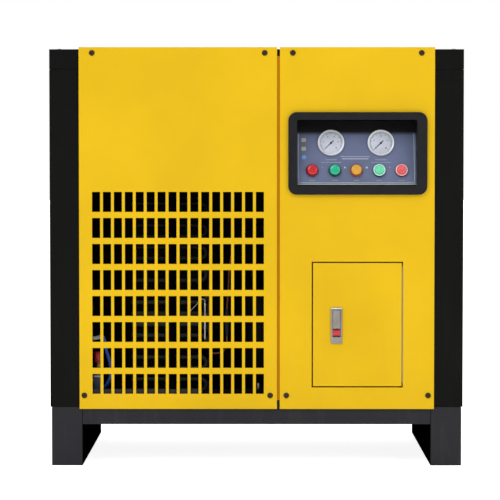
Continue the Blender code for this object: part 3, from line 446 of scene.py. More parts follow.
def add_turned(bm, profile, place=None, steps=64, closed=False, radius_rule=None, second_from=None):
    """A turned solid about Z: rings of points for each (radius, height), joined by quads.

    From the band numbered second_from on, the faces take the piece's second material.
    """
    place = place or Matrix.Identity(4)
    rings = []
    for radius, height in profile:
        if radius < 1e-7:
            rings.append([bm.verts.new(place @ Vector((0, 0, height)))])
            continue
        ring = []
        for step in range(steps):
            angle = 2 * math.pi * step / steps
            r = radius_rule(radius, angle) if radius_rule else radius
            ring.append(bm.verts.new(place @ Vector((r * math.cos(angle), r * math.sin(angle), height))))
        rings.append(ring)
    pairs = list(zip(rings, rings[1:]))
    if closed:
        pairs.append((rings[-1], rings[0]))
    for index, (upper, lower) in enumerate(pairs):
        for step in range(steps):
            after = (step + 1) % steps
            corners = [upper[step % len(upper)], lower[step % len(lower)]]
            if len(lower) > 1:
                corners.append(lower[after])
            if len(upper) > 1:
                corners.append(upper[after])
            if len(corners) > 2:
                face = bm.faces.new(corners)
                face.material_index = int(second_from is not None and index >= second_from)
    return bm


def add_prism(bm, outline, low, high, place=None):
    """A flat outline (counter-clockwise x, y points) extruded along Z from low to high."""
    place = place or Matrix.Identity(4)
    bottom = [bm.verts.new(place @ Vector((x, y, low))) for x, y in outline]
    top = [bm.verts.new(place @ Vector((x, y, high))) for x, y in outline]
    bm.faces.new(list(reversed(bottom)))
    bm.faces.new(top)
    join_rings(bm, bottom, top)
    return bm


def add_frame(bm, outer, inner, low, high, place):
    """A flat ring between two outlines with the same number of points."""
    rows = []
    for outline, height in ((outer, low), (outer, high), (inner, high), (inner, low)):
        rows.append([bm.verts.new(place @ Vector((x, y, height))) for x, y in outline])
    for k in range(4):
        join_rings(bm, rows[k], rows[(k + 1) % 4])
    return bm


def rectangle(cx, cy, width, height, radius=0.0, steps=4):
    """The outline of a rectangle with rounded corners."""
    if not radius:
        return [
            (cx - width / 2, cy - height / 2),
            (cx + width / 2, cy - height / 2),
            (cx + width / 2, cy + height / 2),
            (cx - width / 2, cy + height / 2),
        ]
    points = []
    for quarter, (sx, sy) in enumerate(((1, 1), (-1, 1), (-1, -1), (1, -1))):
        for step in range(steps + 1):
            angle = math.pi / 2 * (quarter + step / steps)
            points.append(
                (
                    cx + sx * (width / 2 - radius) + radius * math.cos(angle),
                    cy + sy * (height / 2 - radius) + radius * math.sin(angle),
                )
            )
    return points


def disc(radius, steps=40):
    angles = [2 * math.pi * i / steps for i in range(steps)]
    return [(radius * math.cos(angle), radius * math.sin(angle)) for angle in angles]


def smooth_route(points, count):
    """A Catmull-Rom curve through the route's own points."""
    points = [Vector(p) for p in points]
    padded = [2 * points[0] - points[1], *points, 2 * points[-1] - points[-2]]
    route = []
    for i in range(1, len(padded) - 2):
        p0, p1, p2, p3 = padded[i - 1 : i + 3]
        for step in range(count):
            t = step / count
            square = (2 * p0 - 5 * p1 + 4 * p2 - p3) * t**2
            cube = (3 * p1 - p0 - 3 * p2 + p3) * t**3
            route.append(0.5 * (2 * p1 + (p2 - p0) * t + square + cube))
    route.append(points[-1])
    return route


def add_tube(bm, points, radius, sides=14):
    """A round tube along a list of points, with closed ends; its rings turn as little as they can."""
    points = [Vector(p) for p in points]
    side = None
    rings = []
    for i, point in enumerate(points):
        ahead = (points[min(i + 1, len(points) - 1)] - points[max(i - 1, 0)]).normalized()
        if side is None:
            side = ahead.orthogonal().normalized()
        side = (side - ahead * side.dot(ahead)).normalized()
        other = ahead.cross(side)
        ring = []
        for k in range(sides):
            angle = 2 * math.pi * k / sides
            ring.append(bm.verts.new(point + radius * (math.cos(angle) * side + math.sin(angle) * other)))
        rings.append(ring)
    for first, second in zip(rings, rings[1:]):
        join_rings(bm, first, second)
    bm.faces.new(list(reversed(rings[0])))
    bm.faces.new(rings[-1])
    return bm


def turned(*shape, **options):
    """A mesh with one turned solid."""
    return add_turned(bmesh.new(), *shape, **options)


def tube(*shape):
    """A mesh with one tube."""
    return add_tube(bmesh.new(), *shape)


def boxes(*shapes):
    """A mesh with a box for each (low, high) or (low, high, bevel)."""
    bm = bmesh.new()
    for shape in shapes:
        add_box(bm, *shape)
    return bm


def piece(name, bm, material, body="root", replaces=None, smooth_angle=35):
    """Makes the mesh a piece of the object: its finish, its body and the node it stands for.
    """
    bmesh.ops.recalc_face_normals(bm, faces=bm.faces)
    mesh = bpy.data.meshes.new(name)
    bm.to_mesh(mesh)
    bm.free()
    obj = add_to_scene(name, mesh)
    for finish in [material] if isinstance(material, str) else material:
        mesh.materials.append(MATERIALS[finish])
    mesh.shade_smooth()
    mesh.set_sharp_from_angle(angle=math.radians(smooth_angle))
    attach(obj, body)
    if replaces:
        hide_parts(replaces)
    return obj


# ---------------------------------------------------------------- carried-over CAD nodes
SOFT_EDGES = {
    0.0004: ("grille_panel", "electrical_box"),
    0.0005: ("control_panel", "left_side_panel", "right_side_panel", "rear_panel"),
    0.0006: ("electrical_door", "latch_body"),
    0.0007: ("top_cover", "front_left_post", "front_right_post", "rear_left_post", "rear_right_post"),
    0.0008: ("drain_valve_handle",),
    0.0010: ("latch_button",),
    0.0012: ("left_skid_leg", "right_skid_leg", "front_beam", "rear_beam", "latch_handle"),
    0.0022: ("control_bezel",),
}


def soften(obj, width, segments=2):
    """Rounds the folded or moulded edges of a CAD node, leaving its mesh as it is."""
    weld = obj.modifiers.new("weld", "WELD")
    weld.merge_threshold = 0.00001
    flat = obj.modifiers.new("flat_faces", "DECIMATE")
    flat.decimate_type = "DISSOLVE"
    flat.angle_limit = math.radians(1)
    bevel = obj.modifiers.new("soft_edge", "BEVEL")
    bevel.width = width
    bevel.segments = segments
    bevel.limit_method = "ANGLE"
    bevel.angle_limit = math.radians(40)
    bevel.harden_normals = True


def dress_nodes():
    """Every carried-over CAD node takes the finish of its record slot; those listed in SOFT_EDGES also get
    slightly rounded edges.
    """
    for entry in frame["record"]["subparts"]:
        obj = NODES[entry["node"]]
        obj.data.materials.clear()
        obj.data.materials.append(MATERIALS[entry["material_slot"]])
    for width, names in SOFT_EDGES.items():
        for name in names:
            soften(NODES[name], width)


# ---------------------------------------------------------------- screws
SOCKET_SHARE = 0.36      # the hexagon socket's radius and depth, as shares of the head's
SOCKET_DEPTH = 0.45


def add_screw(bm, place, head_r, head, shank=0.004, steps=48):
    """A button head with a hexagon socket, standing on the sheet at the place's origin."""
    socket_r = SOCKET_SHARE * head_r
    rim_r = socket_r * 1.12
    deep = SOCKET_DEPTH * head
    profile = [(0.0, head - deep), (socket_r, head - deep), (socket_r * 1.0001, head - 0.0002), (rim_r, head)]
    for step in range(1, 8):
        angle = math.pi / 2 * step / 8
        across = rim_r + (head_r - rim_r) * math.sin(angle)
        profile.append((across, 0.0006 + (head - 0.0006) * math.cos(angle)))
    profile += [(head_r, 0.0005), (head_r - 0.0002, 0.0001), (0.45 * head_r, 0.0001)]
    profile += [(0.45 * head_r, -shank), (0.0, -shank)]
    add_turned(bm, profile, place, steps, radius_rule=hexagon_between(0, socket_r * 1.00005))


def screws(points, normal, *size, up=UP):
    """A mesh with a screw at each point of one sheet."""
    bm = bmesh.new()
    for point in points:
        add_screw(bm, facing(point, normal, up), *size)
    return bm


def make_front_screws():
    sheet_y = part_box("control_panel")[0].y
    for name in NODES:
        if name.startswith("screw_"):
            low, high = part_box(name)
            middle = (low + high) / 2
            size = ((high.x - low.x) / 2, sheet_y - low.y, 0.012)
            bm = screws([(middle.x, sheet_y, middle.z)], FRONT, *size)
            piece(name + "_detailed", bm, "screw_black", replaces=name)


# ---------------------------------------------------------------- instrument plate
DIAL_R = 0.0272
DIAL_HEIGHT = 0.0013
DIAL_SWEEP = 270
PRINT = 0.0001           # how far the dial's print stands up
FILM = 0.00018           # the same for the plate's labels
PLATE_SLOPE = math.radians(15)


def plate_place(joint):
    """A frame on the plate's surface at a device's joint: +Z out of the plate, +Y up along it."""
    return facing(JOINTS[joint]["pos_m"], -Vector(JOINTS[joint]["axis"]))


def device_place(name):
    """The same for a lamp, which has no joint: it is in the buttons' row."""
    low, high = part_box(name)
    place = plate_place("start_button_press")
    place.translation.x = (low.x + high.x) / 2
    return place


def on_plate(x, z):
    """A frame on the plate's surface where it has this world x and z."""
    place = plate_place("start_button_press")
    slope = place.to_3x3() @ Vector((0, 1, 0))
    step = (z - place.translation.z) / slope.z
    return Matrix.Translation(slope * step + Vector((x - place.translation.x, 0, 0))) @ place


def add_text(bm, text, size, place, depth):
    """Raised figures, centred on the place's origin."""
    curve = bpy.data.curves.new("figures", "FONT")
    curve.body = text
    curve.size = size
    curve.extrude = depth
    curve.align_x = "CENTER"
    curve.align_y = "CENTER"
    curve.resolution_u = 3
    obj = add_to_scene("figures", curve)
    bpy.context.view_layer.update()
    mesh = bpy.data.meshes.new_from_object(obj.evaluated_get(bpy.context.evaluated_depsgraph_get()))
    mesh.transform(place)
    bm.from_mesh(mesh)
    bpy.data.objects.remove(obj)
    bpy.data.curves.remove(curve)
    bpy.data.meshes.remove(mesh)


def dial_angle(share):
    """Where a share of the scale lies: it starts at the lower left and runs clockwise."""
    return math.radians(225 - DIAL_SWEEP * share)


def add_ticks(bm, place, count, inner, outer, width):
    for index in range(count + 1):
        angle = dial_angle(index / count)
        turned = place @ Matrix.Rotation(angle, 4, "Z")
        outline = rectangle((inner + outer) / 2, 0, outer - inner, width)
        add_prism(bm, outline, DIAL_HEIGHT, DIAL_HEIGHT + 0.00012, turned)


def add_arc(bm, place, first, last, inner, outer, steps=48):
    """A printed band along part of the dial's scale."""
    low, high = DIAL_HEIGHT, DIAL_HEIGHT + PRINT
    rows = []
    for step in range(steps + 1):
        angle = dial_angle(first + (last - first) * step / steps)
        way = Vector((math.cos(angle), math.sin(angle), 0))
        corners = ((inner, low), (outer, low), (outer, high), (inner, high))
        rows.append([bm.verts.new(place @ (way * radius + Vector((0, 0, h)))) for radius, h in corners])
    for first_row, second_row in zip(rows, rows[1:]):
        join_rings(bm, first_row, second_row)
    bm.faces.new(list(reversed(rows[0])))
    bm.faces.new(rows[-1])


def make_dial(label, place, figures, band):
    """The face with its scale, its figures and a coloured band for the usual range."""
    face = [(0.0, DIAL_HEIGHT), (DIAL_R - 0.0004, DIAL_HEIGHT), (DIAL_R, 0.0008), (0.0, 0.0007)]
    piece(label + "_dial", turned(face, place, 96), "dial_face")

    bm = bmesh.new()
    add_ticks(bm, place, 50, 0.0222, 0.0240, 0.00025)
    add_ticks(bm, place, 10, 0.0205, 0.0240, 0.00060)
    add_arc(bm, place, 0.0, 1.0, 0.0240, 0.0243)
    for index, figure in enumerate(figures):
        angle = dial_angle(index / (len(figures) - 1))
        middle = Vector((math.cos(angle) * 0.0165, math.sin(angle) * 0.0165, DIAL_HEIGHT + PRINT))
        add_text(bm, figure, 0.0056, place @ Matrix.Translation(middle), PRINT)
    piece(label + "_dial_marks", bm, "dial_marks", smooth_angle=20)

    bm = bmesh.new()
    add_arc(bm, place, *band, 0.0243, 0.0254)
    piece(label + "_dial_band", bm, "dial_band", smooth_angle=20)


def make_gauge(label, figures, band):
    """A case with a bright rim, its dial, its glass, and a needle on the pointer's joint."""
    place = plate_place(label + "_pointer_turn")
    case = mm(
        (0, 0.6), (27.2, 0.6), (27.4, 1.2), (26.8, 5.2), (27.2, 6.1), (28.4, 6.7), (29.6, 6.6),
        (30.2, 6), (30.5, 5), (30.5, 1), (30.2, 0.4), (27, 0.3), (27, -27), (26.2, -28), (0, -28)
    )
    ring = turned(case, place, 96)
    piece(label + "_gauge_ring", ring, "rim_bright", replaces=label + "_gauge_case")
    make_dial(label, place, figures, band)
    glass = mm((0, 6), (12, 5.8), (22, 5.4), (26.7, 5), (26.7, 4.4), (0, 4.6))
    piece(label + "_gauge_glass", turned(glass, place, 96), "glass", replaces=label + "_gauge_lens")

    node = label + "_gauge_pointer"
    to_tip = place.inverted() @ middle_of(node)
    rest = place @ Matrix.Rotation(math.atan2(to_tip.y, to_tip.x), 4, "Z")
    needle = mm((-8, -1.1), (0, -1), (17.5, -0.45), (20.8, 0), (17.5, 0.45), (0, 1), (-8, 1.1))
    hub = mm((0, 3.4), (1.6, 3.3), (2.3, 2.8), (2.5, 2.1), (0, 2.1))
    bm = bmesh.new()
    add_prism(bm, needle, 0.0022, 0.0026, rest)
    add_turned(bm, hub, rest, 40)
    piece(label + "_needle", bm, "pointer_black", body=label + "_pointer", replaces=node)


def make_lamp(name, colour):
    """A translucent cap: a wide flat face on a body that flares to a thin rim at the plate; the body is painted a
    darker copy of the cap's colour as painted shade.
    """
    place = device_place(name)
    profile = mm(
        (0, 12.4), (6, 12.3), (9.2, 11.9), (10.8, 11.2), (11.9, 9.9), (12.7, 7.5), (13.4, 4), (14, 3.6),
        (14.5, 3), (14.5, 0.6), (14.3, 0.3), (11, 0.3), (11, -30), (0, -30)
    )
    cap = turned(profile, place, second_from=4)
    slot = colour + "_plastic"
    piece(name + "_cap", cap, [slot, colour + "_deep"], replaces=name)
    bm = bmesh.new()
    for index in range(4):
        outer = 0.0088 - 0.0020 * index
        ring = [(outer, 0.0122), (outer - 0.0003, 0.0125), (outer - 0.0006, 0.0122), (outer - 0.0003, 0.0117)]
        add_turned(bm, ring, place, 48, closed=True)
    piece(name + "_rings", bm, slot)


def make_push_button(name, colour):
    """A pale collar on the plate, its side painted a darker copy of its colour as painted shade, and a brighter
    cap that moves with the button.
    """
    place = plate_place(name + "_press")
    collar = mm(
        (11, 7.8), (11.4, 8.2), (12.6, 8.2), (13.4, 7.8), (13.8, 7), (14.1, 4), (14.5, 3.4),
        (14.5, 0.6), (14.3, 0.3), (11, 0.3), (11, -22), (9, -22), (9, 0.5), (11, 0.5)
    )
    ring = turned(collar, place, closed=True, second_from=4)
    piece(name + "_ring", ring, [colour + "_pale", colour + "_deep"], replaces=name + "_collar")
    cap = mm(
        (0, 9.4), (5, 9.5), (8.2, 9.7), (9.8, 9.4), (10.4, 8.6), (10.5, 4.4), (8.5, 4.4), (8.5, -15),
        (0, -15)
    )
    piece(name + "_cap", turned(cap, place), colour + "_bright", name, name)


def film_piece(name, marks, material):
    """Thin raised print on the plate: an outline at each world x and z."""
    bm = bmesh.new()
    for outline, x, z in marks:
        add_prism(bm, outline, 0.0, FILM, on_plate(x, z))
    piece(name, bm, material, smooth_angle=20)


def label_strip(width, height):
    return rectangle(0, 0, width, height, 0.0003)


def make_plate_marks():
    """The plate's printed border and its blank labels, and the sill at the foot of its recess, painted pale as a
    painted highlight of the light on the recess's floor.
    """
    low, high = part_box("instrument_plate")
    left, right = low.x + 0.0035, high.x - 0.0045
    foot, top = low.z + 0.0055, 0.757
    line = 0.0011
    tall = (top - foot) / math.cos(PLATE_SLOPE)
    border = [(rectangle(0, 0, line, tall), x, (foot + top) / 2) for x in (left, right)]
    border.append((rectangle(0, 0, right - left, line), (left + right) / 2, foot))
    film_piece("plate_border", border, "label_pale")

    middle = (low.x + high.x) / 2 - 0.003
    labels = [(label_strip(0.066, 0.0016), middle, 0.7045), (label_strip(0.060, 0.0028), middle, 0.6995)]
    for joint in ("pressure_pointer_turn", "dew_point_pointer_turn"):
        x = JOINTS[joint]["pos_m"][0]
        labels += [(label_strip(0.026, 0.0014), x, 0.6972), (label_strip(0.046, 0.0011), x, 0.6912)]
    for name in ("power_lamp", "run_lamp", "fault_lamp", "start_button", "stop_button"):
        lowest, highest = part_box(name)
        labels.append((label_strip(0.013, 0.0013), (lowest.x + highest.x) / 2, 0.6505))
    film_piece("plate_labels", labels, "label_grey")

    dots = ((0.1497, 0.0009), (0.2012, 0.0016), (0.2508, 0.0022), (0.3030, 0.0010))
    film_piece("plate_dots", [(disc(radius), x, 0.6795) for x, radius in dots], "label_white")
    tab = rectangle(0, 0, 0.0105, 0.0088, 0.0018)
    film_piece("plate_tabs", [(tab, 0.1075, z) for z in (0.7425, 0.7225)], "label_yellow")
    film_piece("plate_blue_dot", [(disc(0.0052), 0.1080, 0.7030)], "label_blue")

    # painted highlight: a pale strip for the light falling on the floor of the recess
    sill_low = (low.x, low.y - 0.0030, low.z + 0.0002)
    sill_high = (high.x + 0.0003, low.y - 0.0010, low.z + 0.0030)
    piece("recess_sill_highlight", boxes((sill_low, sill_high, 0.0004)), "label_pale")


def make_instruments():
    make_gauge("pressure", ("0", "2", "4", "6", "8", "10"), (0.40, 0.80))
    make_gauge("dew_point", ("0", "5", "10", "15", "20"), (0.05, 0.50))
    make_lamp("power_lamp", "red")
    make_lamp("run_lamp", "green")
    make_lamp("fault_lamp", "orange")
    make_push_button("start_button", "green")
    make_push_button("stop_button", "red")
    make_plate_marks()


# ---------------------------------------------------------------- front panels, door and latch
def make_gap_backing():
    """The folded strip behind the gap between the two front panels, in a darker yellow that is painted shade for
    the gap.
    """
    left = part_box("grille_panel")[1].x
    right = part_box("control_panel")[0]
    low = (left + 0.0003, right.y + 0.0030, 0.150)
    high = (right.x - 0.0003, right.y + 0.0045, 0.932)
    piece("panel_joint_strip", boxes((low, high)), "yellow_shadow")


def make_door_parts():
    """The door's seal and two folded stiffeners, which show when it is open."""
    low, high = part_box("electrical_door")
    width, height = high.x - low.x, high.z - low.z
    inner_y = low.y + 0.0016
    outer = rectangle(0, 0, width - 0.008, height - 0.008, 0.004)
    inner = rectangle(0, 0, width - 0.024, height - 0.024, 0.003)
    place = facing(((low.x + high.x) / 2, inner_y, (low.z + high.z) / 2), BACK)
    bm = add_frame(bmesh.new(), outer, inner, 0.0, 0.0070, place)
    piece("door_seal", bm, "rubber", "door")

    hat = mm((-11, 0), (11, 0), (11, 1), (7.5, 1), (5.5, 6.8), (-5.5, 6.8), (-7.5, 1), (-11, 1))
    bm = bmesh.new()
    for share in (0.28, 0.86):
        z = low.z + height * share
        turn = Matrix(((0, 0, 1, low.x + 0.016), (0, 1, 0, inner_y), (1, 0, 0, z), (0, 0, 0, 1)))
        add_prism(bm, hat, 0.0, width - 0.032, turn)
    piece("door_stiffeners", bm, "yellow_paint", body="door")


def bars(low, high, inset, heights, bevel, proud=0.0005, sunk=0.0002):
    """A mesh of level bars across a front face, one for each (foot, top)."""
    return boxes(
        *(
            ((low.x + inset, low.y - proud, foot), (high.x - inset, low.y + sunk, top), bevel)
            for foot, top in heights
        )
    )


def make_latch_detail():
    """The handle's grip ribs, the button's dome and two dark lines of painted shade at its top and bottom edges,
    the housing's ribs, and a pale strip of painted highlight along its top.
    """
    low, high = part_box("latch_handle")
    feet = [low.z + 0.0050 + 0.0042 * index for index in range(3)]
    ribs = bars(low, high, 0.0025, [(z, z + 0.0016) for z in feet], 0.0003, 0.0004, 0.0006)
    piece("latch_grip_ribs", ribs, "steel", body="latch_handle")

    low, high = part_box("latch_button")
    # painted shade: dark red lines along the button's top and bottom edges
    heights = [(z - 0.0009, z + 0.0009) for z in (low.z + 0.0016, high.z - 0.0018)]
    lines = bars(low, high, 0.0022, heights, 0.0004, 0.0003, 0.0006)
    piece("latch_button_shade_lines", lines, "red_deep", "latch_button")
    centre = ((low.x + high.x) / 2, low.y, (low.z + high.z) / 2)
    dome = mm((0, 0.6), (1.4, 0.5), (2.6, 0.3), (3.4, 0), (3.4, -1), (0, -1))
    piece("latch_button_dome", turned(dome, facing(centre, FRONT), 32), "red_plastic", body="latch_button")

    low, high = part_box("latch_body")
    heights = [(z, z + 0.0018) for z in (low.z + 0.0055, low.z + 0.0110)]
    piece("latch_body_ribs", bars(low, high, 0.004, heights, 0.0003), "steel", body="door")
    # painted highlight: a bright strip along the top of the housing
    lip = bars(low, high, 0.0008, [(high.z - 0.0030, high.z - 0.0005)], 0.0004, 0.0005, 0.0004)
    piece("latch_top_highlight", lip, "rim_bright", "door")


def make_leg_shade_sheets():
    """Thin matt black sheets on the inner faces of the two skid legs, as painted shade for the deep shade there.
    """
    bm = bmesh.new()
    for name, side in (("left_skid_leg", 1), ("right_skid_leg", -1)):
        low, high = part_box(name)
        face = high.x if side > 0 else low.x
        xs = sorted((face, face + side * 0.00025))
        add_box(bm, (xs[0], low.y + 0.0004, 0.0004), (xs[1], high.y - 0.001, high.z - 0.0045))
    piece("leg_shade_sheets", bm, "black_matt", smooth_angle=20)


# ---------------------------------------------------------------- refrigeration side, behind the grille
CONDENSER_ROWS = 18
CONDENSER_FINS = 112
TUBE_R = 0.0048
FAN_BLADES = 5
MOTOR_RIBS = 7
GUARD_RINGS = 6
COMPRESSOR_R = 0.085
COMPRESSOR_X, COMPRESSOR_Y = 0.010, 0.040
POCKET = (-0.1190, -0.2450, 0.0)
VALVE = (-0.3645, -0.2640, 0.0)
DRIER = (-0.0685, -0.2100, 0.0)
STUD_X, STUD_Y = 0.0040, -0.2850
PIPE_THREADS = 9


def serpentine(low, high, front):
    """The route of one tube that runs to and fro across the block, row over row."""
    pitch = (high.z - low.z) / CONDENSER_ROWS
    points = []
    for row in range(CONDENSER_ROWS):
        z = low.z + (row + 0.5) * pitch
        ends = (low.x - 0.0008, high.x + 0.0008)
        side = 1 if row % 2 == 0 else -1
        start_x, turn_x = ends[::side]
        points.append((start_x, front, z))
        if row == CONDENSER_ROWS - 1:
            points.append((turn_x, front, z))
            continue
        for step in range(9):
            angle = math.pi * step / 8 - math.pi / 2
            across = turn_x + side * math.cos(angle) * pitch / 2
            points.append((across, front, z + pitch / 2 + math.sin(angle) * pitch / 2))
    return points


def make_condenser():
    """Fins, end plates and one serpentine of tube, with a matt black sheet in front of the left of the block as
    painted shade, and the strap in front of it.
    """
    low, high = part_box("fan_shroud")
    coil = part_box("condenser_coil")[0]
    front = coil.y + 0.005
    back = low.y - 0.0006
    bm = bmesh.new()
    for index in range(CONDENSER_FINS):
        x = low.x + 0.006 + (high.x - low.x - 0.012) * index / (CONDENSER_FINS - 1)
        add_box(bm, (x - 0.0003, front + 0.0025, low.z + 0.002), (x + 0.0003, back, high.z - 0.002))
    piece("condenser_fins", bm, "fin_black", replaces="condenser_coil")

    ends = [((x, front, low.z), (x + 0.002, back, high.z), 0.0003) for x in (low.x, high.x - 0.002)]
    ends += [
        ((low.x, front + 0.001, z), (high.x, back, z + 0.0015), 0.0003) for z in (low.z, high.z - 0.0015)
    ]
    piece("condenser_frame", boxes(*ends), "black_paint")

    bm = tube(serpentine(low, high, front), TUBE_R, 12)
    piece("condenser_tubes", bm, "tube_dark", smooth_angle=60)

    left, y, top = coil.x + 0.012, coil.y, high.z + 0.002
    # painted shade: a black sheet over the left of the condenser, which is in shade; the third box is the strap
    bm = boxes(
        ((left, y - 0.0065, 0.186), (-0.290, y - 0.0040, top), 0.0005),
        ((left, y - 0.0065, 0.186), (coil.x + 0.014, y + 0.020, top), 0.0005),
        ((-0.2065, y - 0.0050, low.z), (-0.1865, y - 0.0035, top), 0.0004),
    )
    piece("condenser_shade_sheet_and_strap", bm, "black_matt")


def grid_edge(rows):
    """The points all round the edge of a grid, in order."""
    last_row, last = len(rows) - 1, len(rows[0]) - 1
    edge = [row[0] for row in rows[:last_row]]
    edge += rows[last_row][:last]
    edge += [rows[i][last] for i in range(last_row, 0, -1)]
    edge += [rows[0][j] for j in range(last, 0, -1)]
    return edge


def add_blade(bm, place, hub_r, tip_r, half, turn):
    """One twisted, swept fan blade with a rounded tip."""
    spans, chords = 9, 8
    sheets = []
    for face in (1, -1):
        rows = []
        for i in range(spans + 1):
            s = i / spans
            radius = hub_r + (tip_r - hub_r) * s
            tip = max(0.0, (s - 0.86) / 0.14) ** 2
            chord = (0.046 + 0.026 * s) * math.sqrt(max(0.0, 1 - tip) * 0.55 + 0.45)
            pitch = math.radians(34 - 13 * s)
            row = []
            for j in range(chords + 1):
                t = j / chords - 0.5
                camber = 0.0022 * (1 - 4 * t * t)
                height = t * chord * math.sin(pitch) + camber + face * 0.0007
                height = max(-half, min(half, height))
                angle = turn + (t * chord * math.cos(pitch)) / radius + 0.22 * s
                point = Vector((radius * math.cos(angle), radius * math.sin(angle), height))
                row.append(bm.verts.new(place @ point))
            rows.append(row)
        sheets.append(rows)
    for rows in sheets:
        for i in range(spans):
            for j in range(chords):
                bm.faces.new((rows[i][j], rows[i + 1][j], rows[i + 1][j + 1], rows[i][j + 1]))
    join_rings(bm, grid_edge(sheets[0]), grid_edge(sheets[1]))


def make_fan_motor():
    """The motor's ribbed case, on the fan's axis."""
    centre = Vector(JOINTS["fan_spin"]["pos_m"])
    low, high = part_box("fan_motor")
    radius = (high.x - low.x) / 2
    length = high.y - low.y
    profile = [(0, 0), *around(radius, (-8, 0), (-2, -3), (0, -8), (0, -22))]
    for index in range(MOTOR_RIBS):
        at = -24 - 5 * index
        profile += around(radius, (-4, at), (-4, at - 2), (0, at - 3), (0, at - 4.6))
    profile += [(radius - 0.002, -0.062), (radius - 0.010, -length + 0.004), (0.020, -length + 0.0005)]
    profile.append((0, -length))
    place = facing((centre.x, low.y, centre.z), FRONT)
    piece("fan_motor_case", turned(profile, place), "enamel_black", replaces="fan_motor")


def make_fan_guard():
    """Six wire rings and the four arms that carry the motor."""
    centre = Vector(JOINTS["fan_spin"]["pos_m"])
    low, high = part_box("fan_motor")
    guard_y = low.y + 0.012
    bm = bmesh.new()
    for index in range(GUARD_RINGS):
        ring_r = 0.050 + 0.013 * index
        ring = []
        for step in range(49):
            angle = 2 * math.pi * step / 48
            ring.append((centre.x + ring_r * math.cos(angle), guard_y, centre.z + ring_r * math.sin(angle)))
        add_tube(bm, ring, 0.0012, 8)
    shroud_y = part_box("fan_shroud")[1].y
    for index in range(4):
        angle = math.pi / 4 + index * math.pi / 2
        way = Vector((math.cos(angle), 0, math.sin(angle)))
        start = centre + way * ((high.x - low.x) / 2 - 0.001)
        knee = centre + way * 0.116
        foot = centre + way * 0.124
        route = [(start.x, guard_y + 0.0015, start.z), (knee.x, guard_y + 0.0015, knee.z)]
        route += [(foot.x, guard_y - 0.006, foot.z), (foot.x, shroud_y + 0.001, foot.z)]
        add_tube(bm, smooth_route(route, 6), 0.0026, 10)
    piece("fan_guard", bm, "tube_dark", smooth_angle=60)


def make_fan():
    centre = Vector(JOINTS["fan_spin"]["pos_m"])
    low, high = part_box("fan_rotor")
    half = (high.y - low.y) / 2
    place = facing(centre, FRONT)
    tip_r = min(high.z - centre.z, centre.z - low.z) - 0.003
    hub = [(0.0, half - 0.0015), (0.012, half - 0.0012), (0.024, half - 0.004), (0.030, half - 0.009)]
    hub += [(0.032, half - 0.014), (0.032, -half + 0.002), (0.030, -half + 0.0005), (0.0, -half + 0.0005)]
    bm = turned(hub, place, 48)
    for index in range(FAN_BLADES):
        add_blade(bm, place, 0.0305, tip_r - 0.001, half - 0.0008, 2 * math.pi * index / FAN_BLADES)
    piece("fan_impeller", bm, "enamel_black", body="fan_rotor", replaces="fan_rotor", smooth_angle=50)
    make_fan_motor()
    make_fan_guard()


def make_compressor():
    """A domed shell with its seam and foot ring, three rubber mounts and the terminal box."""
    low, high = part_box("compressor")
    radius = COMPRESSOR_R
    height = high.z - low.z
    place = Matrix.Translation((COMPRESSOR_X, COMPRESSOR_Y, low.z))
    profile = [(0.0, height - 0.0005)]
    for step in range(1, 10):
        angle = math.pi / 2 * step / 9
        profile.append((radius * math.sin(angle), height - 0.056 + 0.0555 * math.cos(angle)))
    profile += around(radius, (0, 180), (0, 178.5), (2.2, 177), (2.2, 170), (0, 168.5), (-1, 60))
    profile += [(radius * 0.95, 0.040), (radius * 0.86, 0.026)]
    profile += [(radius * 0.86, 0.012), (radius * 1.04, 0.011), (radius * 1.04, 0.002), (0.0, 0.002)]
    shell = turned(profile, place, 72)
    piece("compressor_shell", shell, "enamel_black", replaces="compressor", smooth_angle=40)

    mount = mm((0, 24), (6, 24), (7, 20), (10, 19), (12, 14), (12, 11.5), (0, 11.5))
    bm = bmesh.new()
    for index in range(3):
        foot = place @ Matrix.Rotation(math.radians(90 + 120 * index), 4, "Z")
        add_turned(bm, mount, foot @ Matrix.Translation((radius * 0.93, 0, 0)), 24)
    piece("compressor_mounts", bm, "rubber")

    turn = Matrix.Rotation(math.radians(-70), 4, "Z")
    box_place = place @ turn @ Matrix.Translation((radius + 0.004, 0, 0.118))
    bm = boxes(((-0.016, -0.024, -0.030), (0.020, 0.024, 0.030), 0.004, 3))
    bmesh.ops.transform(bm, matrix=box_place, verts=bm.verts)
    piece("compressor_terminal_box", bm, "black_plastic")


def tube_piece(name, points, count, radius, sides, material, replaces=None):
    """A tube on a smooth route, with so many steps between two of its points."""
    bm = tube(smooth_route(points, count), radius, sides)
    piece(name, bm, material, replaces=replaces, smooth_angle=60)


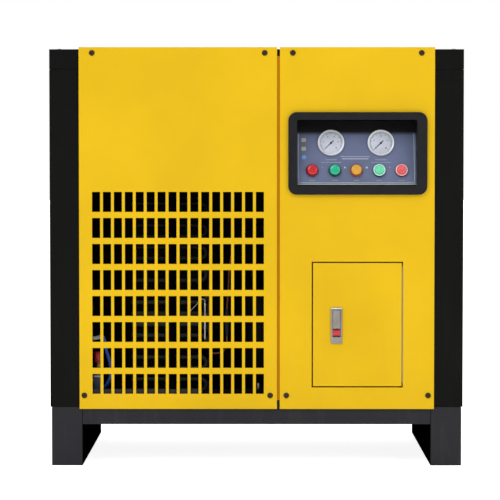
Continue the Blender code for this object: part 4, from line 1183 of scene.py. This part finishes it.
def make_lines():
    """The copper lines with the filter drier, and the drain hose."""
    x, y, top = COMPRESSOR_X, COMPRESSOR_Y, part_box("compressor")[1].z
    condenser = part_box("fan_shroud")[1]
    side = condenser.x + 0.020
    discharge = [(x - 0.020, y - 0.035, top - 0.004), (x - 0.022, y - 0.040, top + 0.030)]
    discharge += [(x - 0.060, y - 0.100, top + 0.055), (side + 0.006, -0.150, top + 0.030)]
    discharge += [(side, -0.205, 0.380), (side, -0.210, 0.300), (side + 0.002, -0.200, 0.245)]
    tube_piece("discharge_tube", discharge, 10, 0.0048, 16, "copper", "discharge_line")
    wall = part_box("heat_exchanger")[0].x
    suction = [(x + 0.030, y + 0.020, top - 0.012), (x + 0.030, y + 0.020, top + 0.040)]
    suction += [(x + 0.030, y + 0.010, condenser.z - 0.030), (x + 0.033, y + 0.002, condenser.z + 0.030)]
    suction += [(wall - 0.016, y, condenser.z + 0.060), (wall + 0.002, y, condenser.z + 0.060)]
    tube_piece("suction_tube", suction, 10, 0.0078, 20, "copper", "suction_line")
    liquid = [(wall + 0.002, -0.040, 0.560), (wall - 0.030, -0.045, 0.560)]
    liquid += mm(
        (10, -120, 545), (-45, -180, 510), (-62, -200, 450), (-65, -205, 400), (-68.5, -210, 350),
        (-68.5, -210, 290), (-70, -205, 262), (-84, -198, 248)
    )
    liquid.append((side + 0.002, -0.198, 0.246))
    tube_piece("liquid_line", liquid, 8, 0.0030, 12, "copper")
    barrel = mm((0, 352), (3.2, 351), (4.2, 346), (4.6, 342), (4.6, 296), (4.2, 292), (3.2, 287), (0, 286))
    piece("filter_drier", turned(barrel, Matrix.Translation(DRIER), 32), "drier_green")
    hose = mm(
        (-352, -262, 290), (-346, -266, 262), (-338, -268, 234), (-335, -266, 205), (-345, -262, 180),
        (-362, -250, 162), (-374, -220, 150), (-378, -150, 146), (-376, -60, 146)
    )
    tube_piece("drain_hose_tube", hose, 8, 0.0040, 16, "blue_hose", "drain_hose")


def knurled(radius, angle):
    """A radius rule for the service cap's grip."""
    return radius * (1 + 0.03 * math.cos(16 * angle)) if radius > 0.0085 else radius


def make_fittings():
    """The sensor pocket with its capillary, the service valve, the drain trap and what is near them."""
    pocket = mm((0, 367), (1.8, 366.8), (2.5, 365.5), (2.5, 284), (1.8, 282.8), (0, 282.6))
    capillary = mm(
        (-156.5, -241, 344), (-152, -242, 349), (-140, -243, 361.5), (-131, -244, 372.5),
        (-124.5, -244.8, 376.2), (-119.8, -245, 373.5), (-119, -245, 365)
    )
    bm = turned(pocket, Matrix.Translation(POCKET), 24)
    add_tube(bm, smooth_route(capillary, 8), 0.00095, 8)
    piece("sensor_pocket", bm, "steel_bright", smooth_angle=50)
    bm = boxes(
        ((-0.1265, -0.2440, 0.3080), (-0.1115, -0.2415, 0.3160), 0.0006),
        ((-0.1265, -0.2440, 0.3360), (-0.1115, -0.2415, 0.3440), 0.0006),
        ((-0.1300, -0.2418, 0.3040), (-0.1255, -0.2230, 0.3480), 0.0006),
    )
    piece("sensor_clips", bm, "tube_dark")

    place = Matrix.Translation(VALVE)
    cap = mm((0, 257), (7, 256.8), (8.6, 255.5), (9, 253.5), (9, 233.5), (8.4, 232.2), (0, 232))
    piece("service_cap", turned(cap, place, 96, radius_rule=knurled), "red_plastic")
    stem = mm((0, 233), (5.5, 233), (5.5, 229), (7.2, 228), (7.2, 221), (5, 220), (5, 204), (0, 204))
    piece("service_valve", turned(stem, place, 32), "brass")
    trap = boxes(((-0.3750, -0.2740, 0.1600), (-0.3530, -0.2540, 0.2040), 0.0030, 3))
    piece("drain_trap", trap, "trap_plastic")
    bm = boxes(((-0.3740, -0.2760, 0.1975), (-0.3540, -0.2735, 0.2020), 0.0008))
    elbow = mm((-376, -262, 287), (-366, -262, 288), (-356, -262, 289.5), (-352, -262, 285))
    add_tube(bm, smooth_route(elbow, 6), 0.0048, 14)
    piece("hose_elbow", bm, "label_white", smooth_angle=50)

    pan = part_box("floor_pan")[0]
    stud = mm((0, 53), (2.2, 52.6), (2.6, 50), (2.6, 0), (0, 0))
    place = Matrix.Translation((STUD_X, STUD_Y, pan.z + 0.003))
    piece("floor_stud", turned(stud, place, 20), "steel_bright")
    foam = ((-0.1225, pan.y - 0.0007, 0.1640), (0.0225, pan.y - 0.0001, 0.1752), 0.0002)
    piece("pan_lip_foam", boxes(foam), "filter_mat")


def make_exchanger_straps():
    """Two straps round the foam jacket, whose own edges are rounded."""
    low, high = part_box("heat_exchanger")
    middle = (low + high) / 2
    width, depth = high.x - low.x, high.y - low.y
    outer = rectangle(0, 0, width + 0.0016, depth + 0.0016, 0.0205, 6)
    inner = rectangle(0, 0, width - 0.0006, depth - 0.0006, 0.0197, 6)
    bm = bmesh.new()
    for share in (0.22, 0.78):
        z = low.z + (high.z - low.z) * share
        add_frame(bm, outer, inner, 0.0, 0.019, Matrix.Translation((middle.x, middle.y, z)))
    piece("exchanger_straps", bm, "strap_grey", smooth_angle=30)
    soften(NODES["heat_exchanger"], 0.006, 3)


def make_separator():
    """The water separator's bowl, with two grooves."""
    low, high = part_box("water_separator")
    middle = (low + high) / 2
    radius = (high.x - low.x) / 2
    height = high.z - low.z
    profile = [(0, height), (0.5 * radius, height - 0.001), (0.86 * radius, height - 0.006)]
    profile += [(radius, height - 0.018), (radius, height - 0.046), (radius - 0.0025, height - 0.0475)]
    profile += [(radius - 0.0025, height - 0.0515), (radius, height - 0.053), (radius, 0.060)]
    profile += [(radius - 0.0018, 0.058), (radius - 0.0018, 0.052), (radius - 0.001, 0.050)]
    profile += [(radius - 0.003, 0.018), (0.6 * radius, 0.004), (0.0, 0.001)]
    bowl = turned(profile, Matrix.Translation((middle.x, middle.y, low.z)), 64)
    piece("separator_bowl", bowl, "aluminium", replaces="water_separator")


def make_air_pipe(name):
    """A pipe stub with a thread cut on its outer end."""
    low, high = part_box(name)
    middle = (low + high) / 2
    outer = (high.x - low.x) / 2
    inner = outer - 0.00415
    length = high.y - low.y
    profile = [(inner, 0.0), (inner + 0.0006, 0.0), (outer - 0.0022, 0.0), (outer - 0.0016, -0.0010)]
    for index in range(PIPE_THREADS):
        at = -1.5 - 2.3 * index
        profile += around(outer, (-0.3, at - 0.8), (-0.3, at - 1.1), (-1.4, at - 1.9), (-1.4, at - 2.2))
    profile += [(outer - 0.0001, -0.0245), (outer, -0.0260), (outer, -length), (inner, -length)]
    bm = turned(profile, facing((middle.x, high.y, middle.z), BACK), 96, closed=True)
    piece(name + "_threaded", bm, "steel", replaces=name, smooth_angle=28)


def make_air_side():
    make_exchanger_straps()
    make_separator()
    make_air_pipe("air_inlet_pipe")
    make_air_pipe("air_outlet_pipe")


# ---------------------------------------------------------------- electrical compartment
CONTACTOR_TERMINALS = (0.1735, 0.1865, 0.1995, 0.2125)
RELAY_TERMINALS = (0.255, 0.2725, 0.290)
TERMINALS = 14
TERMINAL_PITCH = 0.0122
FIRST_TERMINAL = 0.146
WIRED_TERMINALS = (0, 1, 2, 3, 5, 6, 8, 9, 10, 12)
BLUE_TERMINALS = (3, 6, 12)
WIRE_R = 0.0013
DUCT_SLOTS = 19
DUCT_PITCH = 0.0102


def make_wiring(back):
    """Wires from the switchgear's lower terminals into the duct, and from the duct to the terminal row."""
    wires = {"black": bmesh.new(), "blue": bmesh.new()}
    starts = [(x, 0.0452, 0.3425) for x in CONTACTOR_TERMINALS[:3]]
    starts += [(x, 0.0532, 0.3455) for x in RELAY_TERMINALS]
    for x, depth, z in starts:
        route = [
            (x, back - depth, z),
            (x, back - depth - 0.0020, z - 0.0080),
            (x + 0.0010, back - 0.0400, 0.3235),
            (x + 0.0020, back - 0.0260, 0.3150),
            (x + 0.0020, back - 0.0220, 0.3060),
        ]
        add_tube(wires["black"], smooth_route(route, 5), WIRE_R, 8)
    for index in WIRED_TERMINALS:
        x = FIRST_TERMINAL + 0.0057 + TERMINAL_PITCH * index
        route = [
            (x + 0.0010, back - 0.0200, 0.2860),
            (x + 0.0005, back - 0.0270, 0.2700),
            (x, back - 0.0375, 0.2560),
            (x, back - 0.0392, 0.2440),
        ]
        add_tube(wires["blue" if index in BLUE_TERMINALS else "black"], smooth_route(route, 5), WIRE_R, 8)
    piece("black_wires", wires["black"], "pointer_black", smooth_angle=60)
    piece("blue_wires", wires["blue"], "blue_hose", smooth_angle=60)


def make_switchgear(back):
    """The contactor and the relay on their rail, with their terminals and the reset button."""
    low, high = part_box("contactor")
    rail = mm(
        (0, -17.5), (1, -17.5), (1, -13.5), (7.5, -13.5), (7.5, 13.5), (1, 13.5),
        (1, 17.5), (0, 17.5), (0, 12.5), (6.5, 12.5), (6.5, -12.5), (0, -12.5)
    )
    turn = Matrix(((0, 0, 1, low.x), (-1, 0, 0, back), (0, 1, 0, 0.3775), (0, 0, 0, 1)))
    outline = [(0.0075 - x, z) for x, z in reversed(rail)]
    bm = add_prism(bmesh.new(), outline, 0.0, high.x - low.x, turn)
    piece("din_rail", bm, "galvanised", replaces="contactor")

    bm = boxes(
        ((0.165, back - 0.044, 0.335), (0.225, back - 0.0085, 0.420), 0.0015),
        ((0.1665, back - 0.066, 0.350), (0.2235, back - 0.043, 0.405), 0.0020),
        ((0.178, back - 0.074, 0.364), (0.212, back - 0.065, 0.391), 0.0015),
        ((0.245, back - 0.052, 0.340), (0.300, back - 0.0085, 0.415), 0.0018),
        ((0.249, back - 0.059, 0.352), (0.296, back - 0.051, 0.402), 0.0012),
    )
    piece("switchgear_cases", bm, "black_plastic")
    points = [(x, back - 0.0440, z) for z in (0.3425, 0.4125) for x in CONTACTOR_TERMINALS]
    points += [(x, back - 0.0520, 0.3455) for x in RELAY_TERMINALS]
    piece("terminal_screws", screws(points, FRONT, 0.0034, 0.0012, 0.001, 24), "brass")
    button = mm((0, 3), (3, 2.8), (3.6, 1.8), (3.6, -1), (0, -1))
    place = facing((0.2825, back - 0.0590, 0.3880), FRONT)
    piece("relay_reset", turned(button, place, 32), "red_plastic")


def make_terminal_row(back):
    """The terminal blocks with their screws, the slotted duct over them, and the box's own screws."""
    lefts = [FIRST_TERMINAL + TERMINAL_PITCH * index for index in range(TERMINALS)]
    blocks = [((x, back - 0.038, 0.206), (x + 0.0114, back - 0.0020, 0.252), 0.0008) for x in lefts]
    piece("terminal_blocks", boxes(*blocks), "terminal_grey")
    points = [(x + 0.0057, back - 0.0380, z) for x in lefts for z in (0.2145, 0.2435)]
    piece("terminal_block_screws", screws(points, FRONT, 0.0030, 0.0008, 0.001, 20), "steel")

    bm = boxes(((0.134, back - 0.034, 0.278), (0.328, back - 0.032, 0.312), 0.0005))
    for index in range(DUCT_SLOTS):
        x = 0.135 + DUCT_PITCH * index
        for z in (0.278, 0.3105):
            add_box(bm, (x, back - 0.033, z), (x + 0.0070, back - 0.0020, z + 0.0015), 0.0004)
    piece("wiring_duct", bm, "terminal_grey")
    points = [(x, back + 0.0001, z) for z in (0.180, 0.466) for x in (0.126, 0.333)]
    piece("box_screws", screws(points, FRONT, 0.0042, 0.0022, 0.001, 24), "screw_black")


def make_electrical_gear():
    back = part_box("contactor")[1].y
    make_switchgear(back)
    make_terminal_row(back)
    make_wiring(back)


def make_inside():
    make_condenser()
    make_fan()
    make_compressor()
    make_lines()
    make_fittings()
    make_air_side()
    make_electrical_gear()


# ---------------------------------------------------------------- sides, back and top
SIDE_COLUMNS = ((-0.190, -0.080), (0.062, 0.172))      # each column of slots, from y to y
SIDE_SLOTS = {"first": 0.250, "pitch": 0.030, "rows": 9, "height": 0.008}
REAR_SLOTS = {"first": (-0.3725, 0.245), "width": 0.074, "pitch": (0.088, 0.022), "count": (3, 13)}
WINDOW_REACH = 0.040     # from a pipe's centre to the edge of the window round both pipes


def add_hood(bm, place, width, height, proud):
    """A pressed louvre over one slot, closed at both ends. Local X runs along the slot, Z out."""
    sections = []
    steps = 7
    for i in range(9):
        t = 2 * i / 8 - 1
        swell = max(0.0, 1 - abs(t) ** 6)
        ring = []
        for k in range(steps + 1):
            angle = math.pi / 2 * k / steps
            up = height * 1.25 - (height * 1.25) * math.sin(angle)
            ring.append((up, 0.0001 + proud * swell * (1 - math.cos(angle)) ** 0.7))
        outer = [bm.verts.new(place @ Vector((t * width / 2, up, out))) for up, out in ring]
        under = [(up, max(0.00005, out - 0.0005)) for up, out in ring]
        inner = [bm.verts.new(place @ Vector((t * width / 2, up, out))) for up, out in under]
        sections.append((outer, inner))
    for (outer_a, inner_a), (outer_b, inner_b) in zip(sections, sections[1:]):
        for k in range(steps):
            bm.faces.new((outer_a[k], outer_a[k + 1], outer_b[k + 1], outer_b[k]))
            bm.faces.new((inner_a[k], inner_b[k], inner_b[k + 1], inner_a[k + 1]))
        bm.faces.new((outer_a[0], outer_b[0], inner_b[0], inner_a[0]))
        bm.faces.new((outer_a[steps], inner_a[steps], inner_b[steps], outer_b[steps]))
    for outer, inner in (sections[0], sections[-1]):
        for k in range(steps):
            bm.faces.new((outer[k], inner[k], inner[k + 1], outer[k + 1]))


def make_side_details(label, side):
    """The louvres, screws and filter mats of one side cover."""
    low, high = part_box(label + "_side_panel")
    face = high.x if side > 0 else low.x
    normal = (side, 0, 0)
    bm = bmesh.new()
    for first, last in SIDE_COLUMNS:
        for row in range(SIDE_SLOTS["rows"]):
            z = SIDE_SLOTS["first"] + SIDE_SLOTS["pitch"] * row
            place = facing((face, (first + last) / 2, z), normal)
            add_hood(bm, place, last - first + 0.004, SIDE_SLOTS["height"], 0.0017)
    piece(label + "_louvres", bm, "louvre_black", smooth_angle=50)

    ys = (low.y + 0.014, (low.y + high.y) / 2, high.y - 0.014)
    zs = (low.z + 0.020, (low.z + high.z) / 2, high.z - 0.020)
    bm = screws([(face, y, z) for y in ys for z in zs], normal, 0.0060, 0.0018, 0.0012, 32)
    piece(label + "_side_screws", bm, "screw_side")

    inner = face - side * 0.0017
    near, far = sorted((inner, inner - side * 0.004))
    top = SIDE_SLOTS["first"] + SIDE_SLOTS["pitch"] * SIDE_SLOTS["rows"]
    mats = [((near, first - 0.008, 0.238), (far, last + 0.008, top), 0.0008) for first, last in SIDE_COLUMNS]
    piece(label + "_louvre_mats", boxes(*mats), "filter_mat")


def make_rear_louvres(low, high):
    """The fan outlet's louvres, and the mats behind them and under the cover's foot."""
    left, foot = REAR_SLOTS["first"]
    width = REAR_SLOTS["width"]
    across, up = REAR_SLOTS["pitch"]
    columns, rows = REAR_SLOTS["count"]
    bm = bmesh.new()
    for i in range(columns):
        for j in range(rows):
            place = facing((left + across * i + width / 2, high.y, foot + up * j), BACK)
            add_hood(bm, place, width + 0.004, 0.0095, 0.0050)
    piece("rear_louvres", bm, "louvre_black", smooth_angle=50)

    right = left + across * (columns - 1) + width
    bm = boxes(
        ((left - 0.008, low.y - 0.0080, 0.235), (right + 0.010, high.y - 0.0020, foot + up * rows), 0.0008),
        ((low.x + 0.010, low.y - 0.0060, 0.1336), (high.x - 0.010, low.y - 0.0004, 0.1480), 0.0008),
    )
    piece("rear_filter_mat", bm, "filter_mat")


def make_rear_screws(low, high):
    edges = (low.x + 0.016, high.x - 0.016)
    xs = (edges[0], low.x / 2, 0.0, high.x / 2, edges[1])
    points = [(x, high.y, z) for x in xs for z in (low.z + 0.014, high.z - 0.014)]
    points += [(x, high.y, low.z + (high.z - low.z) * share) for x in edges for share in (1 / 3, 2 / 3)]
    piece("rear_screws", screws(points, BACK, 0.0062, 0.0030, 0.0012, 32), "screw_side")


def make_window_edging(back):
    """The rubber edge of the window round both air pipes."""
    first, second = middle_of("air_outlet_pipe"), middle_of("air_inlet_pipe")
    middle = (first + second) / 2
    width = second.x - first.x + 2 * WINDOW_REACH
    height = 2 * WINDOW_REACH
    outer = rectangle(0, 0, width + 0.007, height + 0.007, 0.0135, 8)
    inner = rectangle(0, 0, width - 0.002, height - 0.002, 0.0090, 8)
    place = facing((middle.x, back, middle.z), BACK)
    piece("window_edging", add_frame(bmesh.new(), outer, inner, -0.0042, 0.0024, place), "rubber")


def make_cable_entry(back):
    """A closed cable gland with a hexagonal nut."""
    gland = mm(
        (0, 20), (8, 19.8), (10.5, 18.5), (11.8, 16), (12.2, 13), (12.5, 12.5), (16, 12.2), (16.5, 11.2),
        (16.5, 6.8), (16, 6), (18.5, 5.5), (19, 4.5), (19, 0.5), (18.5, 0.1), (0, 0.1)
    )
    place = facing((-0.300, back, 0.680), BACK)
    bm = turned(gland, place, 72, radius_rule=hexagon_between(0.0155, 0.0175))
    piece("cable_entry", bm, "black_plastic")


def make_name_plate(back):
    """A blank plate with four rivets and four plain ruled lines."""
    plate = facing((-0.165, back, 0.700), BACK)
    bm = add_prism(bmesh.new(), rectangle(0, 0, 0.110, 0.070, 0.004), 0.0001, 0.0009, plate)
    piece("name_plate_blank", bm, "aluminium", smooth_angle=30)
    rivet = mm((0, 2.2), (1.4, 2), (2.3, 1.2), (2.5, 0.8), (0, 0.8))
    bm = bmesh.new()
    for x in (-0.049, 0.049):
        for y in (-0.029, 0.029):
            add_turned(bm, rivet, plate @ Matrix.Translation((x, y, 0)), 24)
    for y, width in ((0.016, 0.080), (0.006, 0.062), (-0.004, 0.062), (-0.014, 0.062)):
        add_prism(bm, rectangle(-0.004, y, width, 0.0016, 0.0004), 0.0009, 0.0011, plate)
    piece("name_plate_rivets", bm, "steel_dull", smooth_angle=40)


def make_drain_nuts(back):
    """The drain valve's nut against the rear cover, and the small nut on its lever."""
    low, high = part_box("drain_valve_body")
    joint = Vector(JOINTS["drain_lever_turn"]["pos_m"])
    radius = (high.x - low.x) / 2
    nut = around(radius, (0, 0), (2.4, -0.4), (3, -1.2), (3, -6), (2.4, -6.8), (0, -7))
    place = facing((joint.x, back + 0.0075, low.z + radius), BACK)
    hexagon = hexagon_between(radius + 0.0020, radius + 0.0040)
    piece("drain_nut", turned(nut, place, 72, closed=True, radius_rule=hexagon), "brass")
    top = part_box("drain_valve_handle")[1].z
    cap = mm((0, 1.8), (2.2, 1.7), (2.8, 1), (2.8, 0), (0, 0))
    bm = turned(cap, Matrix.Translation((joint.x, joint.y, top)), 24)
    piece("drain_lever_nut", bm, "steel", body="drain_lever")


def make_rear_details():
    low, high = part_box("rear_panel")
    make_rear_louvres(low, high)
    make_rear_screws(low, high)
    make_window_edging(high.y)
    make_cable_entry(high.y)
    make_name_plate(high.y)
    make_drain_nuts(high.y)


def make_top_details():
    """The top cover's screws, and the plugs in its four lifting-eye holes."""
    low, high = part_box("top_cover")
    xs = (low.x + 0.020, low.x / 3, high.x / 3, high.x - 0.020)
    points = [(x, y, high.z) for x in xs for y in (low.y + 0.040, high.y - 0.016)]
    bm = screws(points, UP, 0.0060, 0.0026, 0.0010, 32, up=BACK)
    piece("top_screws", bm, "screw_side")
    plug = mm((0, 2.4), (6, 2.3), (10, 1.6), (11.5, 0.8), (11.8, 0.1), (0, 0.1))
    bm = bmesh.new()
    for x in (low.x + 0.130, high.x - 0.130):
        for y in (low.y + 0.150, high.y - 0.150):
            add_turned(bm, plug, Matrix.Translation((x, y, high.z)), 40)
    piece("lifting_eye_plugs", bm, "black_plastic")


def make_outside():
    make_side_details("left", -1)
    make_side_details("right", 1)
    make_rear_details()
    make_top_details()


# ---------------------------------------------------------------- the scene
make_camera()
make_world()
make_lights()
make_floor()
make_materials()
dress_nodes()
make_front_screws()
make_instruments()
make_gap_backing()
make_door_parts()
make_latch_detail()
make_leg_shade_sheets()
make_inside()
make_outside()

bpy.context.scene.view_settings.view_transform = "Standard"
